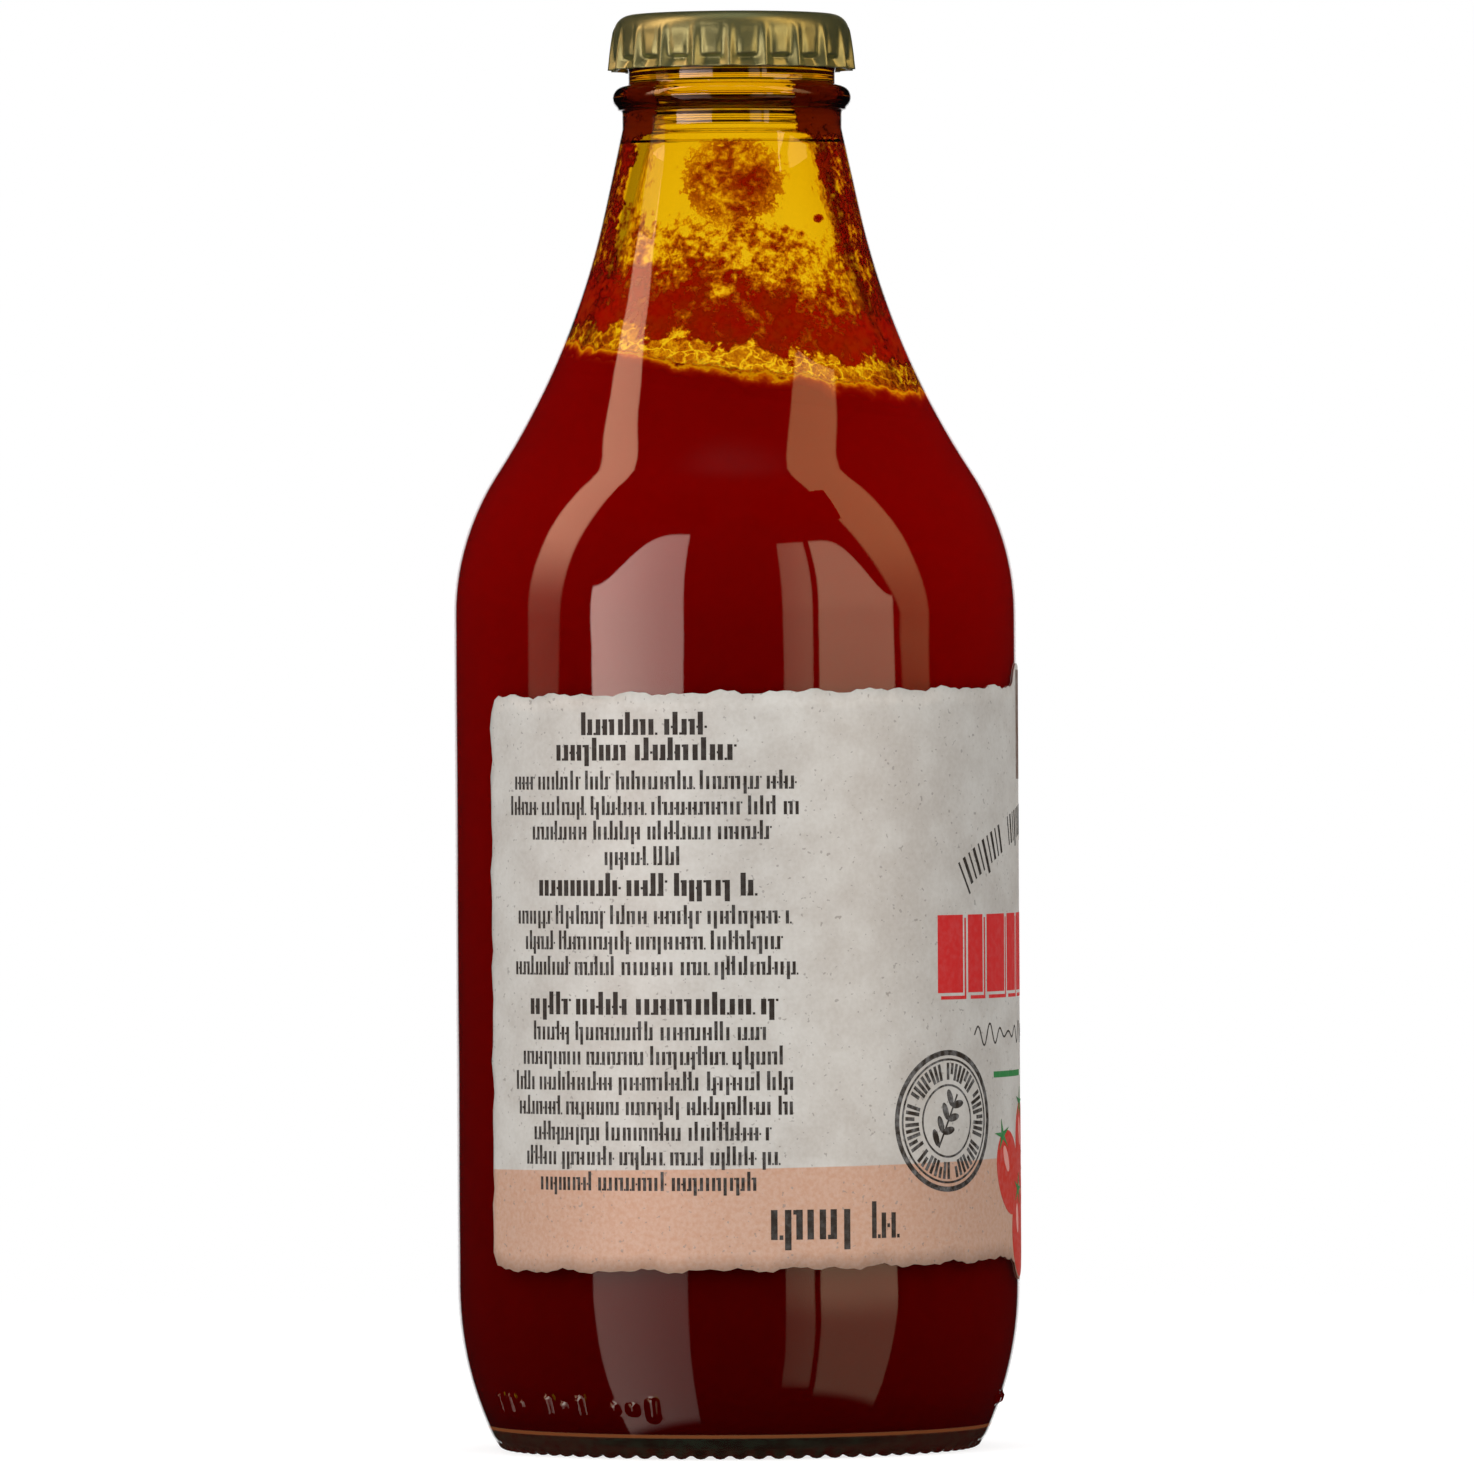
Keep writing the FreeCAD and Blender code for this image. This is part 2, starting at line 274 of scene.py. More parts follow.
class Nodes:
    """Builder of one node tree, where an input takes a number, a colour or a signal."""

    def __init__(self, tree: bpy.types.NodeTree) -> None:
        """Empty the tree."""
        self.tree = tree
        tree.nodes.clear()

    def add(self, kind: str, values: dict | None = None, **settings: object) -> bpy.types.Node:
        """Add a node.

        Args:
            kind: its type, without ShaderNode.
            values: input names or numbers, with what each takes. A colour needs no alpha.
            settings: the node's own properties.

        Returns:
            The node.
        """
        node = self.tree.nodes.new(f"ShaderNode{kind}")
        for key, value in settings.items():
            setattr(node, key, value)
        for key, value in (values or {}).items():
            socket = node.inputs[key]
            if isinstance(value, Signal):
                self.tree.links.new(value.socket, socket)
            elif isinstance(value, tuple) and len(socket.default_value) == 4:
                socket.default_value = (*value, 1.0)
            else:
                socket.default_value = value
        return node

    def out(self, kind: str, values: dict | None = None, output: str | int = 0, **settings: object) -> Signal:
        """Add a node and give one of its outputs."""
        return Signal(self, self.add(kind, values, **settings).outputs[output])

    def axes(self, vector: Signal) -> list[Signal]:
        """X, Y and Z of a vector."""
        return [Signal(self, output) for output in self.add("SeparateXYZ", {0: vector}).outputs]

    def math(self, operation: str, *values: Signal | float) -> Signal:
        """Output of a Math node."""
        return self.out("Math", dict(enumerate(values)), operation=operation)

    def most(self, a: Signal, b: Signal) -> Signal:
        """Greater of two values."""
        return self.math("MAXIMUM", a, b)

    def turn(self, x: Signal, y: Signal) -> Signal:
        """Angle from -Y towards +X, in radians."""
        return self.math("ARCTAN2", x, y * -1.0)

    def vector(self, operation: str, a: Signal | Colour, b: Signal | Colour | float) -> Signal:
        """Output of a Vector Math node."""
        return self.out("VectorMath", {0: a, "Scale" if operation == "SCALE" else 1: b}, operation=operation)

    def span(self, value: Signal, low: float, high: float, start: float = 0.0, end: float = 1.0) -> Signal:
        """Smooth change of a value's span low to high into start to end."""
        return self.out("MapRange", {"Value": value, "From Min": low, "From Max": high, "To Min": start,
                                     "To Max": end}, "Result", interpolation_type="SMOOTHSTEP")

    def noise(self, place: Signal, size: float, detail: float = 3.0, roughness: float = 0.55) -> Signal:
        """Noise whose patches are about a size across, in metres."""
        return self.out("TexNoise", {"Vector": place, "Scale": 1 / size, "Detail": detail,
                                     "Roughness": roughness}, "Fac")

    def ramp(self, value: Signal, stops: list[tuple[float, Colour]]) -> Signal:
        """Colour ramp through the stops.

        Args:
            value: what picks the colour.
            stops: place and colour of each stop, in order.

        Returns:
            The colour.
        """
        node = self.add("ValToRGB", {"Fac": value})
        ramp = node.color_ramp
        while len(ramp.elements) < len(stops):
            ramp.elements.new(0.5)
        for element, (place, colour) in zip(ramp.elements, stops):
            element.position = place
            element.color = (*colour, 1)
        return Signal(self, node.outputs["Color"])

    def mix(self, share: Signal | float, a: Signal | Colour, b: Signal | Colour, blend: str = "MIX") -> Signal:
        """Mix of two colours."""
        return self.out("Mix", {0: share, 6: a, 7: b}, 2, data_type="RGBA", blend_type=blend)

    def between(self, share: Signal | float, a: Signal, b: Signal) -> Signal:
        """Mix of two values."""
        return self.out("Mix", {0: share, 2: a, 3: b}, data_type="FLOAT")

    def bump(self, height: Signal, depth: float) -> Signal:
        """Normal of a relief whose height runs from 0 to 1 over a depth in metres."""
        return self.out("Bump", {"Height": height, "Strength": 1.0, "Distance": depth}, "Normal")

    def principled(self, colour: Signal | Colour, rough: Signal | float, **inputs: Signal | float) -> Signal:
        """Principled shader, whose other inputs are named with _ for a space."""
        more = {key.replace("_", " "): value for key, value in inputs.items()}
        return self.out("BsdfPrincipled", {"Base Color": colour, "Roughness": rough, **more})

    def over(self, share: Signal | float, a: Signal, b: Signal) -> Signal:
        """Mix of two shaders."""
        return self.out("MixShader", {0: share, 1: a, 2: b})

    def surface(self, shader: Signal, **more: Signal) -> None:
        """End a material's tree."""
        self.add("OutputMaterial", {"Surface": shader, **more})


def new_material(name: str) -> tuple[bpy.types.Material, Nodes, Signal]:
    """Start a material.

    Args:
        name: the material's name.

    Returns:
        The material, its nodes, and the Object coordinates.
    """
    material = bpy.data.materials.new(name)
    material.use_nodes = True
    nodes = Nodes(material.node_tree)
    return material, nodes, nodes.out("TexCoord", output="Object")


@dataclass(frozen=True)
class AmberGlass:
    """Amber glass, faintly wavy, with a painted reflection of the floor round its foot: a speckled grey-olive band
    with a warm line along its top.
    """

    name: str = "amber_glass"
    # Painted reflection of the floor on the heel: its colour, its speckled shares, the colour and share of the warm
    # line along its top, that line's height and width, the radius beyond which it is painted, and the size of its
    # speckles.
    painted_reflection: Colour = (0.15, 0.26, 0.16)
    painted_reflection_shares: Pair = (0.0275, 0.065)
    painted_reflection_edge: Colour = (0.75, 0.24, 0.08)
    painted_reflection_edge_share: float = 0.25
    painted_reflection_top: float = 2.7 * MM
    painted_reflection_line: float = 0.28 * MM
    painted_reflection_inner: float = 22 * MM
    speck: float = 1.2 * MM
    tint: Colour = (0.95, 0.875, 0.0)
    density: float = 900.0
    refraction: float = 1.52
    wave: float = 14 * MM
    wave_depth: float = 0.12 * MM

    def build(self) -> bpy.types.Material:
        """Build the material.

        Returns:
            The material.
        """
        material, nodes, place = new_material(self.name)
        relief = nodes.bump(nodes.noise(place, self.wave, 1.0), self.wave_depth)
        clear = nodes.principled(WHITE, 0.0, IOR=self.refraction, Transmission_Weight=1.0, Normal=relief)
        x, y, z = nodes.axes(place)
        # Painted reflection of the floor: a speckled matte grey-olive band on the outer heel up to a set height, with
        # a warm line along its top.
        outside = nodes.span(nodes.math("SQRT", x * x + y * y), self.painted_reflection_inner, self.painted_reflection_inner + 3 * MM)
        specks = nodes.noise(place, self.speck, 3.0, 0.6)
        patchy = nodes.span(z, self.painted_reflection_top + 0.1 * MM, self.painted_reflection_top - 0.1 * MM)
        patchy = patchy * nodes.span(specks, 0.35, 0.65, *self.painted_reflection_shares)
        line = nodes.span(abs(z - self.painted_reflection_top), self.painted_reflection_line, self.painted_reflection_line * 0.5)
        share = nodes.most(patchy, line * self.painted_reflection_edge_share) * outside
        dull = nodes.out("BsdfDiffuse", {"Color": nodes.mix(line, self.painted_reflection, self.painted_reflection_edge)})
        body = nodes.out("VolumeAbsorption", {"Color": self.tint, "Density": self.density})
        nodes.surface(nodes.over(share, clear, dull), Volume=body)
        return material


@dataclass(frozen=True)
class SauceFilm:
    """Film that the sauce left inside the neck: froth, solid smears and clean glass in ragged patches, and along the
    sauce's level a lighter thin edge with painted glow.
    """

    level: float
    slope: float
    name: str = "sauce_film"
    solid: Colour = (0.56, 0.012, 0.001)
    cloud: Colour = (0.46, 0.045, 0.001)
    brown: Colour = (0.22, 0.032, 0.006)
    brown_from: Pair = (149.5 * MM, 151.5 * MM)
    patch_size: float = 3.6 * MM
    grain_size: float = 0.9 * MM
    wave_size: float = 4.0 * MM
    wave_height: float = 4.2 * MM
    blotch: Pair = (0.1 * MM, 145.9 * MM)
    blotch_radius: float = 6.2 * MM
    core: Pair = (1.9 * MM, 145.6 * MM)
    core_radius: float = 2.9 * MM
    spot: Pair = (9.0 * MM, 141.5 * MM)
    spot_radius: float = 0.8 * MM
    stain_top: Pair = (151.6 * MM, 150.6 * MM)
    side_starts: Pair = (1.2, 0.96)
    collar: Pair = (150.5 * MM, 152 * MM)
    # Ramp along the sauce's level, from the dark sauce to orange: partly the thinner sauce's own lighter colour,
    # partly painted glow of light through it. Thread is the colour of thin yellow lines along the level.
    deep: Colour = (0.27, 0.0006, 0.0004)
    dim: Colour = (0.34, 0.012, 0.0006)
    soft: Colour = (0.5, 0.075, 0.001)
    glow: Colour = (0.75, 0.26, 0.003)
    thread: Colour = (0.95, 0.66, 0.03)
    froth_top: float = 3.3 * MM
    bend_scale: float = 420.0
    net_scale: float = 300.0
    net_bend: float = 4.2 * MM
    band: tuple[Pair, ...] = (
        (0.0, 0.55), (3.0, 0.7), (4.6, 0.84), (7.4, 0.8), (9.4, 0.68), (11.5, 0.54), (15.0, 0.42), (17.6, 0.3),
        (18.6, 0.0))
    tints: tuple[tuple[float, Colour], ...] = (
        (0.28, (1.0, 1.0, 1.0)), (0.4, (0.92, 0.8, 0.6)), (0.52, (0.74, 0.5, 0.3)),
        (0.64, (0.6, 0.27, 0.06)), (0.8, (0.6, 0.13, 0.0)), (1.0, (0.5, 0.06, 0.0)))

    def net(self, nodes: Nodes, place: Signal) -> Signal:
        """Distance from the threads of a bent, flattened net.

        Args:
            nodes: builder of the tree.
            place: the Object coordinates.

        Returns:
            0 on a thread, more away from it.
        """
        bend = nodes.out("TexNoise", {"Vector": place, "Scale": self.bend_scale, "Detail": 3.0}, "Color")
        bent = nodes.vector("ADD", place, nodes.vector("SCALE", bend, self.net_bend))
        flat = nodes.vector("MULTIPLY", bent, (1.0, 1.0, 1.9))
        return nodes.out("TexVoronoi", {"Vector": flat, "Scale": self.net_scale}, "Distance",
                         feature="DISTANCE_TO_EDGE")

    def build(self) -> bpy.types.Material:
        """Build the material.

        Returns:
            The material.
        """
        material, nodes, place = new_material(self.name)
        span, most = nodes.span, nodes.most
        x, y, z = nodes.axes(place)
        above = z - self.level + x * self.slope
        patches = nodes.noise(place, self.patch_size, 4.0, 0.6)
        grain = nodes.noise(place, self.grain_size, 4.0, 0.72)
        waves = nodes.noise(place, self.wave_size, 4.0, 0.6)
        wavy = above + (waves - 0.56) * self.wave_height
        turn = nodes.turn(abs(x), y) + (patches * 0.7 + grain * 0.3 - 0.5) * 0.42
        front = span(turn, 1.7, 1.5)

        def patch(middle: Pair, radius: float, ragged: Signal, hardness: float) -> Signal:
            """Round patch with a ragged edge, full up to a share of its radius.

            Args:
                middle: sideways place and height of its middle.
                radius: its radius.
                ragged: noise that frays its edge.
                hardness: share of the radius at which it is full.

            Returns:
                1 inside the patch, 0 outside.
            """
            dx, dz = x - middle[0], z - middle[1]
            away = nodes.math("SQRT", dx * dx + dz * dz) + (ragged - 0.5) * (radius * 1.7)
            return span(away, radius, radius * hardness)

        top = self.band[-1][0] * MM
        cover = nodes.ramp(above / top, [(h * MM / top, (c, c, c)) for h, c in self.band])
        cover = cover * most(front, span(above, 1.2 * MM, 0.4 * MM))
        blotch = patch(self.blotch, self.blotch_radius, nodes.between(0.3, grain, patches), 0.75)
        core = patch(self.core, self.core_radius, patches, 0.1)
        spot = patch(self.spot, self.spot_radius, grain, 0.3)
        stains = most(blotch * 0.55 + core * 0.14, spot * 0.85) * span(z, *self.stain_top)
        cover = most(cover, stains * front)
        start = span(x, -1 * MM, 1 * MM, *self.side_starts) - span(z, *self.collar, 0.0, 0.2)
        sides = span(turn - start, -0.02, 0.04) * span(turn, 2.3, 1.4)
        cover = most(cover, sides * span(z, *self.collar, 0.56, 1.0))

        uneven = 1.0 - blotch * 0.3
        fine = (grain - 0.5) * span(above, 4 * MM, 12 * MM, 0.5, 1.0)
        thick = cover + (patches - 0.5) * 1.2 * uneven + fine * uneven
        net = self.net(nodes, place)
        froth = fine * 1.6 + 0.49 - span(net, 0.0, 0.085, 0.2, 0.0)
        low = span(above + (patches - 0.5) * (9 * MM), self.froth_top, self.froth_top * 0.8)
        thick = nodes.between(low, thick, froth) * nodes.math("GREATER_THAN", cover, 0.02)
        thread = most(span(abs(wavy - 0.15 * MM), 0.22 * MM, 0.04 * MM), span(net, 0.07, 0.01))
        thread = thread * span(wavy, -0.25 * MM, 0.0)

        # Partly painted glow: the thinner sauce near the level is lighter, and the ramp brightens it to orange as
        # painted glow of light through it.
        level_glow = nodes.ramp(span(wavy, -1.7 * MM, 0.5 * MM), [
            (0.0, self.deep), (0.18, self.deep), (0.48, self.dim), (0.68, self.soft), (0.82, self.glow)])
        level_glow = nodes.mix(thread, level_glow, self.thread)
        smear = nodes.mix(span(waves * 0.6 + grain * 0.4, 0.42, 0.64), self.solid, self.cloud)
        smear = nodes.mix(span(z, *self.brown_from), smear, self.brown)
        under = span(wavy, 0.75 * MM, 0.1 * MM)
        tint = nodes.mix(under, nodes.ramp(thick, list(self.tints)), WHITE)
        gel = nodes.out("BsdfTransparent", {"Color": tint})
        pulp = nodes.principled(nodes.mix(under, smear, level_glow), 0.6, Specular_IOR_Level=0.0)
        covered = span(thick, 0.5, 0.95, 0.0, 0.82)
        share = nodes.between(under, covered, span(wavy, -1.32 * MM, -1.28 * MM))
        nodes.surface(nodes.over(share, gel, pulp))
        return material


@dataclass(frozen=True)
class TomatoSauce:
    """Smooth red sauce, with painted shade that darkens it towards the foot, thin and orange along its upper edge."""

    level: float
    slope: float
    name: str = "tomato_sauce"
    deep: Colour = (0.27, 0.0006, 0.0004)
    light: Colour = (0.26, 0.001, 0.0006)
    thin: Colour = (0.4, 0.03, 0.002)
    edge: float = 1.3 * MM
    ragged: float = 1.2 * MM
    pulp_size: float = 5 * MM
    # Painted shade: share of the colour kept at each share of 110 mm of height, darker towards the foot.
    depth: tuple[Pair, ...] = ((0.05, 0.34), (0.5, 0.7), (0.9, 1.0))

    def build(self) -> bpy.types.Material:
        """Build the material.

        Returns:
            The material.
        """
        material, nodes, place = new_material(self.name)
        x, _, z = nodes.axes(place)
        below = self.level - z - x * self.slope
        pulp = nodes.noise(place, self.pulp_size, 5.0, 0.6)
        colour = nodes.mix(nodes.span(pulp, 0.35, 0.7), self.deep, self.light)
        # Painted shade: the colour is multiplied darker towards the foot.
        depth = nodes.ramp(z / (110 * MM), [(height, (share,) * 3) for height, share in self.depth])
        colour = nodes.mix(1.0, colour, depth, "MULTIPLY")
        thinning = nodes.span(below + (pulp - 0.5) * self.ragged, self.edge, 0.0)
        colour = nodes.mix(nodes.math("POWER", thinning, 1.5), colour, self.thin)
        nodes.surface(nodes.principled(colour, 0.5, Specular_IOR_Level=0.0, Normal=nodes.bump(pulp, 0.05 * MM)))
        return material


@dataclass(frozen=True)
class GoldLacquer:
    """Satin gold lacquer on tinplate, finely grained, with a few dark specks."""

    name: str = "gold_lacquer"
    gold: Colour = (0.4, 0.44, 0.22)
    dull: Colour = (0.28, 0.29, 0.11)
    speck: Colour = (0.1, 0.08, 0.04)

    def build(self) -> bpy.types.Material:
        """Build the material.

        Returns:
            The material.
        """
        material, nodes, place = new_material(self.name)
        grain = nodes.noise(place, 0.25 * MM, 3.0)
        specks = nodes.span(nodes.noise(place, 0.5 * MM, 2.0), 0.77, 0.8)
        colour = nodes.mix(nodes.noise(place, 3 * MM, 4.0), self.dull, self.gold)
        colour = nodes.mix(specks, colour, self.speck)
        rough = nodes.span(grain, 0.3, 0.7, 0.33, 0.42)
        nodes.surface(nodes.principled(colour, rough, Metallic=0.88, Normal=nodes.bump(grain, 0.006 * MM)))
        return material


@dataclass(frozen=True)
class LabelPaper:
    """Uncoated off-white paper with flecks, printed with a peach band along its foot."""

    band_top: float
    band_slope: float
    name: str = "label_paper"
    paper: Colour = (0.6, 0.575, 0.53)
    shade: Colour = (0.5, 0.465, 0.42)
    fleck: Colour = (0.2, 0.175, 0.155)
    peach: Colour = (0.55, 0.3, 0.19)

    def build(self) -> bpy.types.Material:
        """Build the material.

        Returns:
            The material.
        """
        material, nodes, place = new_material(self.name)
        x, y, z = nodes.axes(place)
        cloud = nodes.noise(place, 6 * MM, 4.0)
        fibre = nodes.noise(place, 0.5 * MM, 3.0)
        flecks = nodes.span(nodes.noise(place, 0.55 * MM, 1.0), 0.69, 0.73)
        colour = nodes.mix(nodes.span(cloud, 0.3, 0.7), self.shade, self.paper)
        top = nodes.turn(x, y) * self.band_slope + self.band_top
        colour = nodes.mix(nodes.span(z - top, 0.05 * MM, -0.05 * MM) * 0.94, colour, self.peach)
        colour = nodes.mix(flecks * 0.6, colour, self.fleck)
        colour = nodes.mix(nodes.span(fibre, 0.2, 0.8, 0.0, 0.12), colour, WHITE)
        nodes.surface(nodes.principled(colour, 0.5, Specular_IOR_Level=0.5, Normal=nodes.bump(fibre, 0.02 * MM)))
        return material


@dataclass(frozen=True)
class Ink:
    """Printing ink on the label, slightly uneven."""

    name: str
    colour: Colour
    faded: float = 0.25

    def build(self) -> bpy.types.Material:
        """Build the material.

        Returns:
            The material.
        """
        material, nodes, place = new_material(self.name)
        patchy = nodes.span(nodes.noise(place, 0.8 * MM, 4.0), 0.35, 0.8)
        pale = tuple(c + (0.55 - c) * self.faded for c in self.colour)
        nodes.surface(nodes.principled(nodes.mix(patchy, self.colour, pale), 0.6, Specular_IOR_Level=0.3))
        return material


@dataclass
class GlassBottle:
    """The glass: a turned wall with a ring of small knobs under the foot and raised marks on the heel."""

    body_radius: float
    lip: float
    heel_top: float = 19.0 * MM
    heel_sweep: float = 41.0 * MM
    foot_round: float = 2.4 * MM
    land: float = 1.6 * MM
    push_up: float = 2.8 * MM
    shoulder: float = 30.0 * MM
    wall_height: float = 77.3 * MM
    neck_height: float = 46.9 * MM
    cone_radius: float = 14.75 * MM
    cone_height: float = 9.3 * MM
    collar: float = 12.7 * MM
    collar_height: float = 2.2 * MM
    wall: float = 2.1 * MM
    base: float = 3.5 * MM
    inner_round: float = 6.0 * MM
    neck_wall: float = 3.0 * MM
    bore: float = 8.1 * MM
    bore_depth: float = 8.0 * MM
    mouth_round: float = 0.9 * MM
    bead_height: float = 2.8 * MM
    bead_proud: float = 1.1 * MM
    waist_depth: float = 1.35 * MM
    waist_height: float = 1.8 * MM
    lock: float = 13.3 * MM
    lock_slope: float = 2.4 * MM
    lock_height: float = 1.3 * MM
    lip_height: float = 2.4 * MM
    bead_crease: float = 0.5 * MM
    lip_crease: float = 0.4 * MM
    ripple_depth: float = 0.09 * MM
    ripple_pitch: float = 1.2 * MM
    ripple_foot: float = 149.8 * MM
    ripple_top: float = 160.6 * MM
    knobs: int = 76
    knob: float = 1.25 * MM
    knob_proud: float = 0.35 * MM
    knob_inset: float = 0.4 * MM
    columns_per_knob: int = 5
    mark_height: float = 5.9 * MM
    mark_proud: float = 0.42 * MM
    mark_radius: float = 0.62 * MM
    mark_pitch: float = 4.5
    bar_length: float = 2.6 * MM
    mark_rows: tuple[tuple[float, str], ...] = (
        (-64.0, "bar bar pip gap bar pip bar gap pip pip bar"), (78.0, "pip pip"))

    @property
    def wall_top(self) -> float:
        """Upper end of the upright wall."""
        return self.heel_top + self.wall_height

    @property
    def cone_foot(self) -> float:
        """Lower end of the neck's cone."""
        return self.wall_top + self.neck_height

    def heel_corner(self, inset: float, floor: float, corner: float) -> tuple[Pair, Pair]:
        """Round between a level floor and the heel.

        Args:
            inset: how far the surface is sunk into the glass.
            floor: the floor's height.
            corner: the round's radius.

        Returns:
            The round's centre and its upper end.
        """
        sweep = self.heel_sweep - inset
        hub = self.body_radius - self.heel_sweep
        drop = self.heel_top - floor - corner
        run = math.sqrt((sweep - corner) ** 2 - drop ** 2)
        reach = sweep / (sweep - corner)
        return (hub + run, floor + corner), (hub + run * reach, self.heel_top - drop * reach)

    def neck_sweep(self, inset: float, foot: float, top: float, rise: float) -> tuple[Pair, Pair]:
        """Hollow arc from the shoulder to the neck's cone.

        Args:
            inset: how far the surface is sunk into the glass.
            foot: the cone's radius at its foot.
            top: its radius at its top.
            rise: its height.

        Returns:
            The arc's centre and the point where it leaves the shoulder.
        """
        shoulder = self.shoulder - inset
        hub = (self.body_radius - self.shoulder, self.wall_top)
        side = math.hypot(foot - top, rise)
        normal = (rise / side, (foot - top) / side)
        offset = (foot - hub[0], self.cone_foot - hub[1])
        across = offset[0] * normal[0] + offset[1] * normal[1]
        bend = (offset[0] ** 2 + offset[1] ** 2 - shoulder ** 2) / (2 * (shoulder - across))
        centre = (foot + bend * normal[0], self.cone_foot + bend * normal[1])
        share = shoulder / (shoulder + bend)
        return centre, (hub[0] + (centre[0] - hub[0]) * share, hub[1] + (centre[1] - hub[1]) * share)

    def dome(self, outline: Outline, radius: float) -> None:
        """Sink from the axis to a level end at a radius by two equal arcs.

        Args:
            outline: the outline to go on from.
            radius: where the level end is.
        """
        top = outline.points[-1][1]
        bend = ((radius / 2) ** 2 + (self.push_up / 2) ** 2) / self.push_up
        outline.arc((0, top - bend), radius / 2, top - self.push_up / 2, 5)
        outline.arc((radius, top - self.push_up + bend), radius, top - self.push_up, 5)

    def add_wall(self, outline: Outline, inset: float, floor: float, corner: float, foot: float, top: float,
                 rise: float, fine: bool) -> None:
        """Draw the heel, the upright wall, the shoulder and the neck.

        Args:
            outline: the outline to go on from.
            inset: how far the surface is sunk into the glass.
            floor: height of the floor inside the heel.
            corner: radius of the round between them.
            foot: the cone's radius at its foot.
            top: its radius at its top.
            rise: its height.
            fine: whether the heel has close rows, for raised marks.
        """
        centre, end = self.heel_corner(inset, floor, corner)
        hub = (self.body_radius - self.heel_sweep, self.heel_top)
        sweep = self.heel_sweep - inset
        outline.arc(centre, *end, 8)
        if fine:
            edge = self.mark_height + self.bar_length
            outline.arc(hub, hub[0] + math.sqrt(sweep ** 2 - (self.heel_top - edge) ** 2), edge, 20)
        outline.arc(hub, self.body_radius - inset, self.heel_top, 8)
        outline.line(self.body_radius - inset, self.wall_top, 4)
        centre, leave = self.neck_sweep(inset, foot, top, rise)
        outline.arc((self.body_radius - self.shoulder, self.wall_top), *leave, 14)
        outline.arc(centre, foot, self.cone_foot, 18)
        if not fine:
            share = (self.ripple_foot - self.cone_foot) / rise
            outline.line(foot + (top - foot) * share, self.ripple_foot, 2)
        outline.line(top, self.cone_foot + rise, 3 if fine else 34)

    def inside(self, gap: float) -> Outline:
        """Inside of the glass from the axis up to the bore, smaller all round by a gap.

        Args:
            gap: how much smaller it is, or larger where it is negative.

        Returns:
            The outline.
        """
        line = Outline(0, self.knob_proud + self.base + self.push_up + gap)
        floor = self.knob_proud + self.base + gap
        corner = self.inner_round - gap
        centre, _ = self.heel_corner(self.wall + gap, floor, corner)
        self.dome(line, centre[0])
        self.add_wall(line, self.wall + gap, floor, corner, self.cone_radius - self.neck_wall - gap,
                      self.bore - gap, self.lip - self.bore_depth - self.cone_foot, False)
        return line

    def outline(self) -> Outline:
        """Whole section of the glass.

        Returns:
            The outline, from the outer foot's middle over the lip to the inner one.
        """
        centre, _ = self.heel_corner(0, self.knob_proud, self.foot_round)
        line = Outline(0, self.knob_proud + self.push_up)
        self.dome(line, centre[0] - self.land)
        line.line(centre[0], self.knob_proud, 5)
        self.add_wall(line, 0, self.knob_proud, self.foot_round, self.cone_radius, self.collar, self.cone_height, True)
        bead_foot = self.cone_foot + self.cone_height + self.collar_height
        bead_top = bead_foot + self.bead_height
        half = self.bead_height / 2
        middle = (self.collar + self.bead_proud - half, bead_foot + half)
        waist = self.lock - self.waist_depth
        waist_top = bead_top + self.waist_height
        lock_foot = waist_top + self.lock_slope
        lock_top = lock_foot + self.lock_height
        line.corner((self.collar, bead_foot), (middle[0] + half, bead_foot), self.bead_crease)
        line.arc(middle, middle[0] + half, middle[1], 7)
        line.arc(middle, middle[0], bead_top, 7)
        line.corner((waist, bead_top), (waist, waist_top), self.lip_crease)
        line.corner((waist, waist_top), (self.lock, lock_foot), self.lip_crease)
        line.corner((self.lock, lock_foot), (self.lock, lock_top), self.lip_crease)
        line.line(self.lock, lock_top)
        line.arc((self.lock - self.lip_height, lock_top), self.lock - self.lip_height, self.lip, 8)
        line.line(self.bore + self.mouth_round, self.lip)
        inside = self.inside(0)
        inside.line(self.bore, self.ripple_top, 14)
        inside.line(self.bore, self.lip - self.mouth_round, 2)
        mouth = self.bore + self.mouth_round
        inside.arc((mouth, self.lip - self.mouth_round), mouth, self.lip, 5)
        line.points += [(r + self.ripple(z), z) for r, z in inside.points[-2::-1]]
        return line

    def ripple(self, height: float) -> float:
        """Fine waves of the inside behind the collar and the bead, as a change of radius.

        Args:
            height: height above the table.

        Returns:
            How far the inside stands further out there.
        """
        share = (height - self.ripple_foot) / self.ripple_pitch, (self.ripple_top - height) / self.ripple_pitch
        share = min(max(min(share), 0), 1)
        return self.ripple_depth * share * math.sin(height / self.ripple_pitch * math.tau)

    def marks(self) -> list[Pair]:
        """Angle and half length of each raised mark.

        Returns:
            The angle in radians and the half length of each, in order.
        """
        found = []
        for start, row in self.mark_rows:
            for i, kind in enumerate(Mark(word) for word in row.split()):
                if kind is not Mark.GAP:
                    half = self.bar_length / 2 - self.mark_radius if kind is Mark.BAR else 0.0
                    found.append((math.radians(start + i * self.mark_pitch), half))
        return found

    def raise_marks(self, bm: bmesh.types.BMesh) -> None:
        """Refine the heel round the marks and lift them out of it.

        Args:
            bm: the glass.
        """
        marks = self.marks()
        reach = self.mark_radius * 1.6
        radius = self.body_radius - self.heel_sweep + math.sqrt(
            self.heel_sweep ** 2 - (self.heel_top - self.mark_height) ** 2)

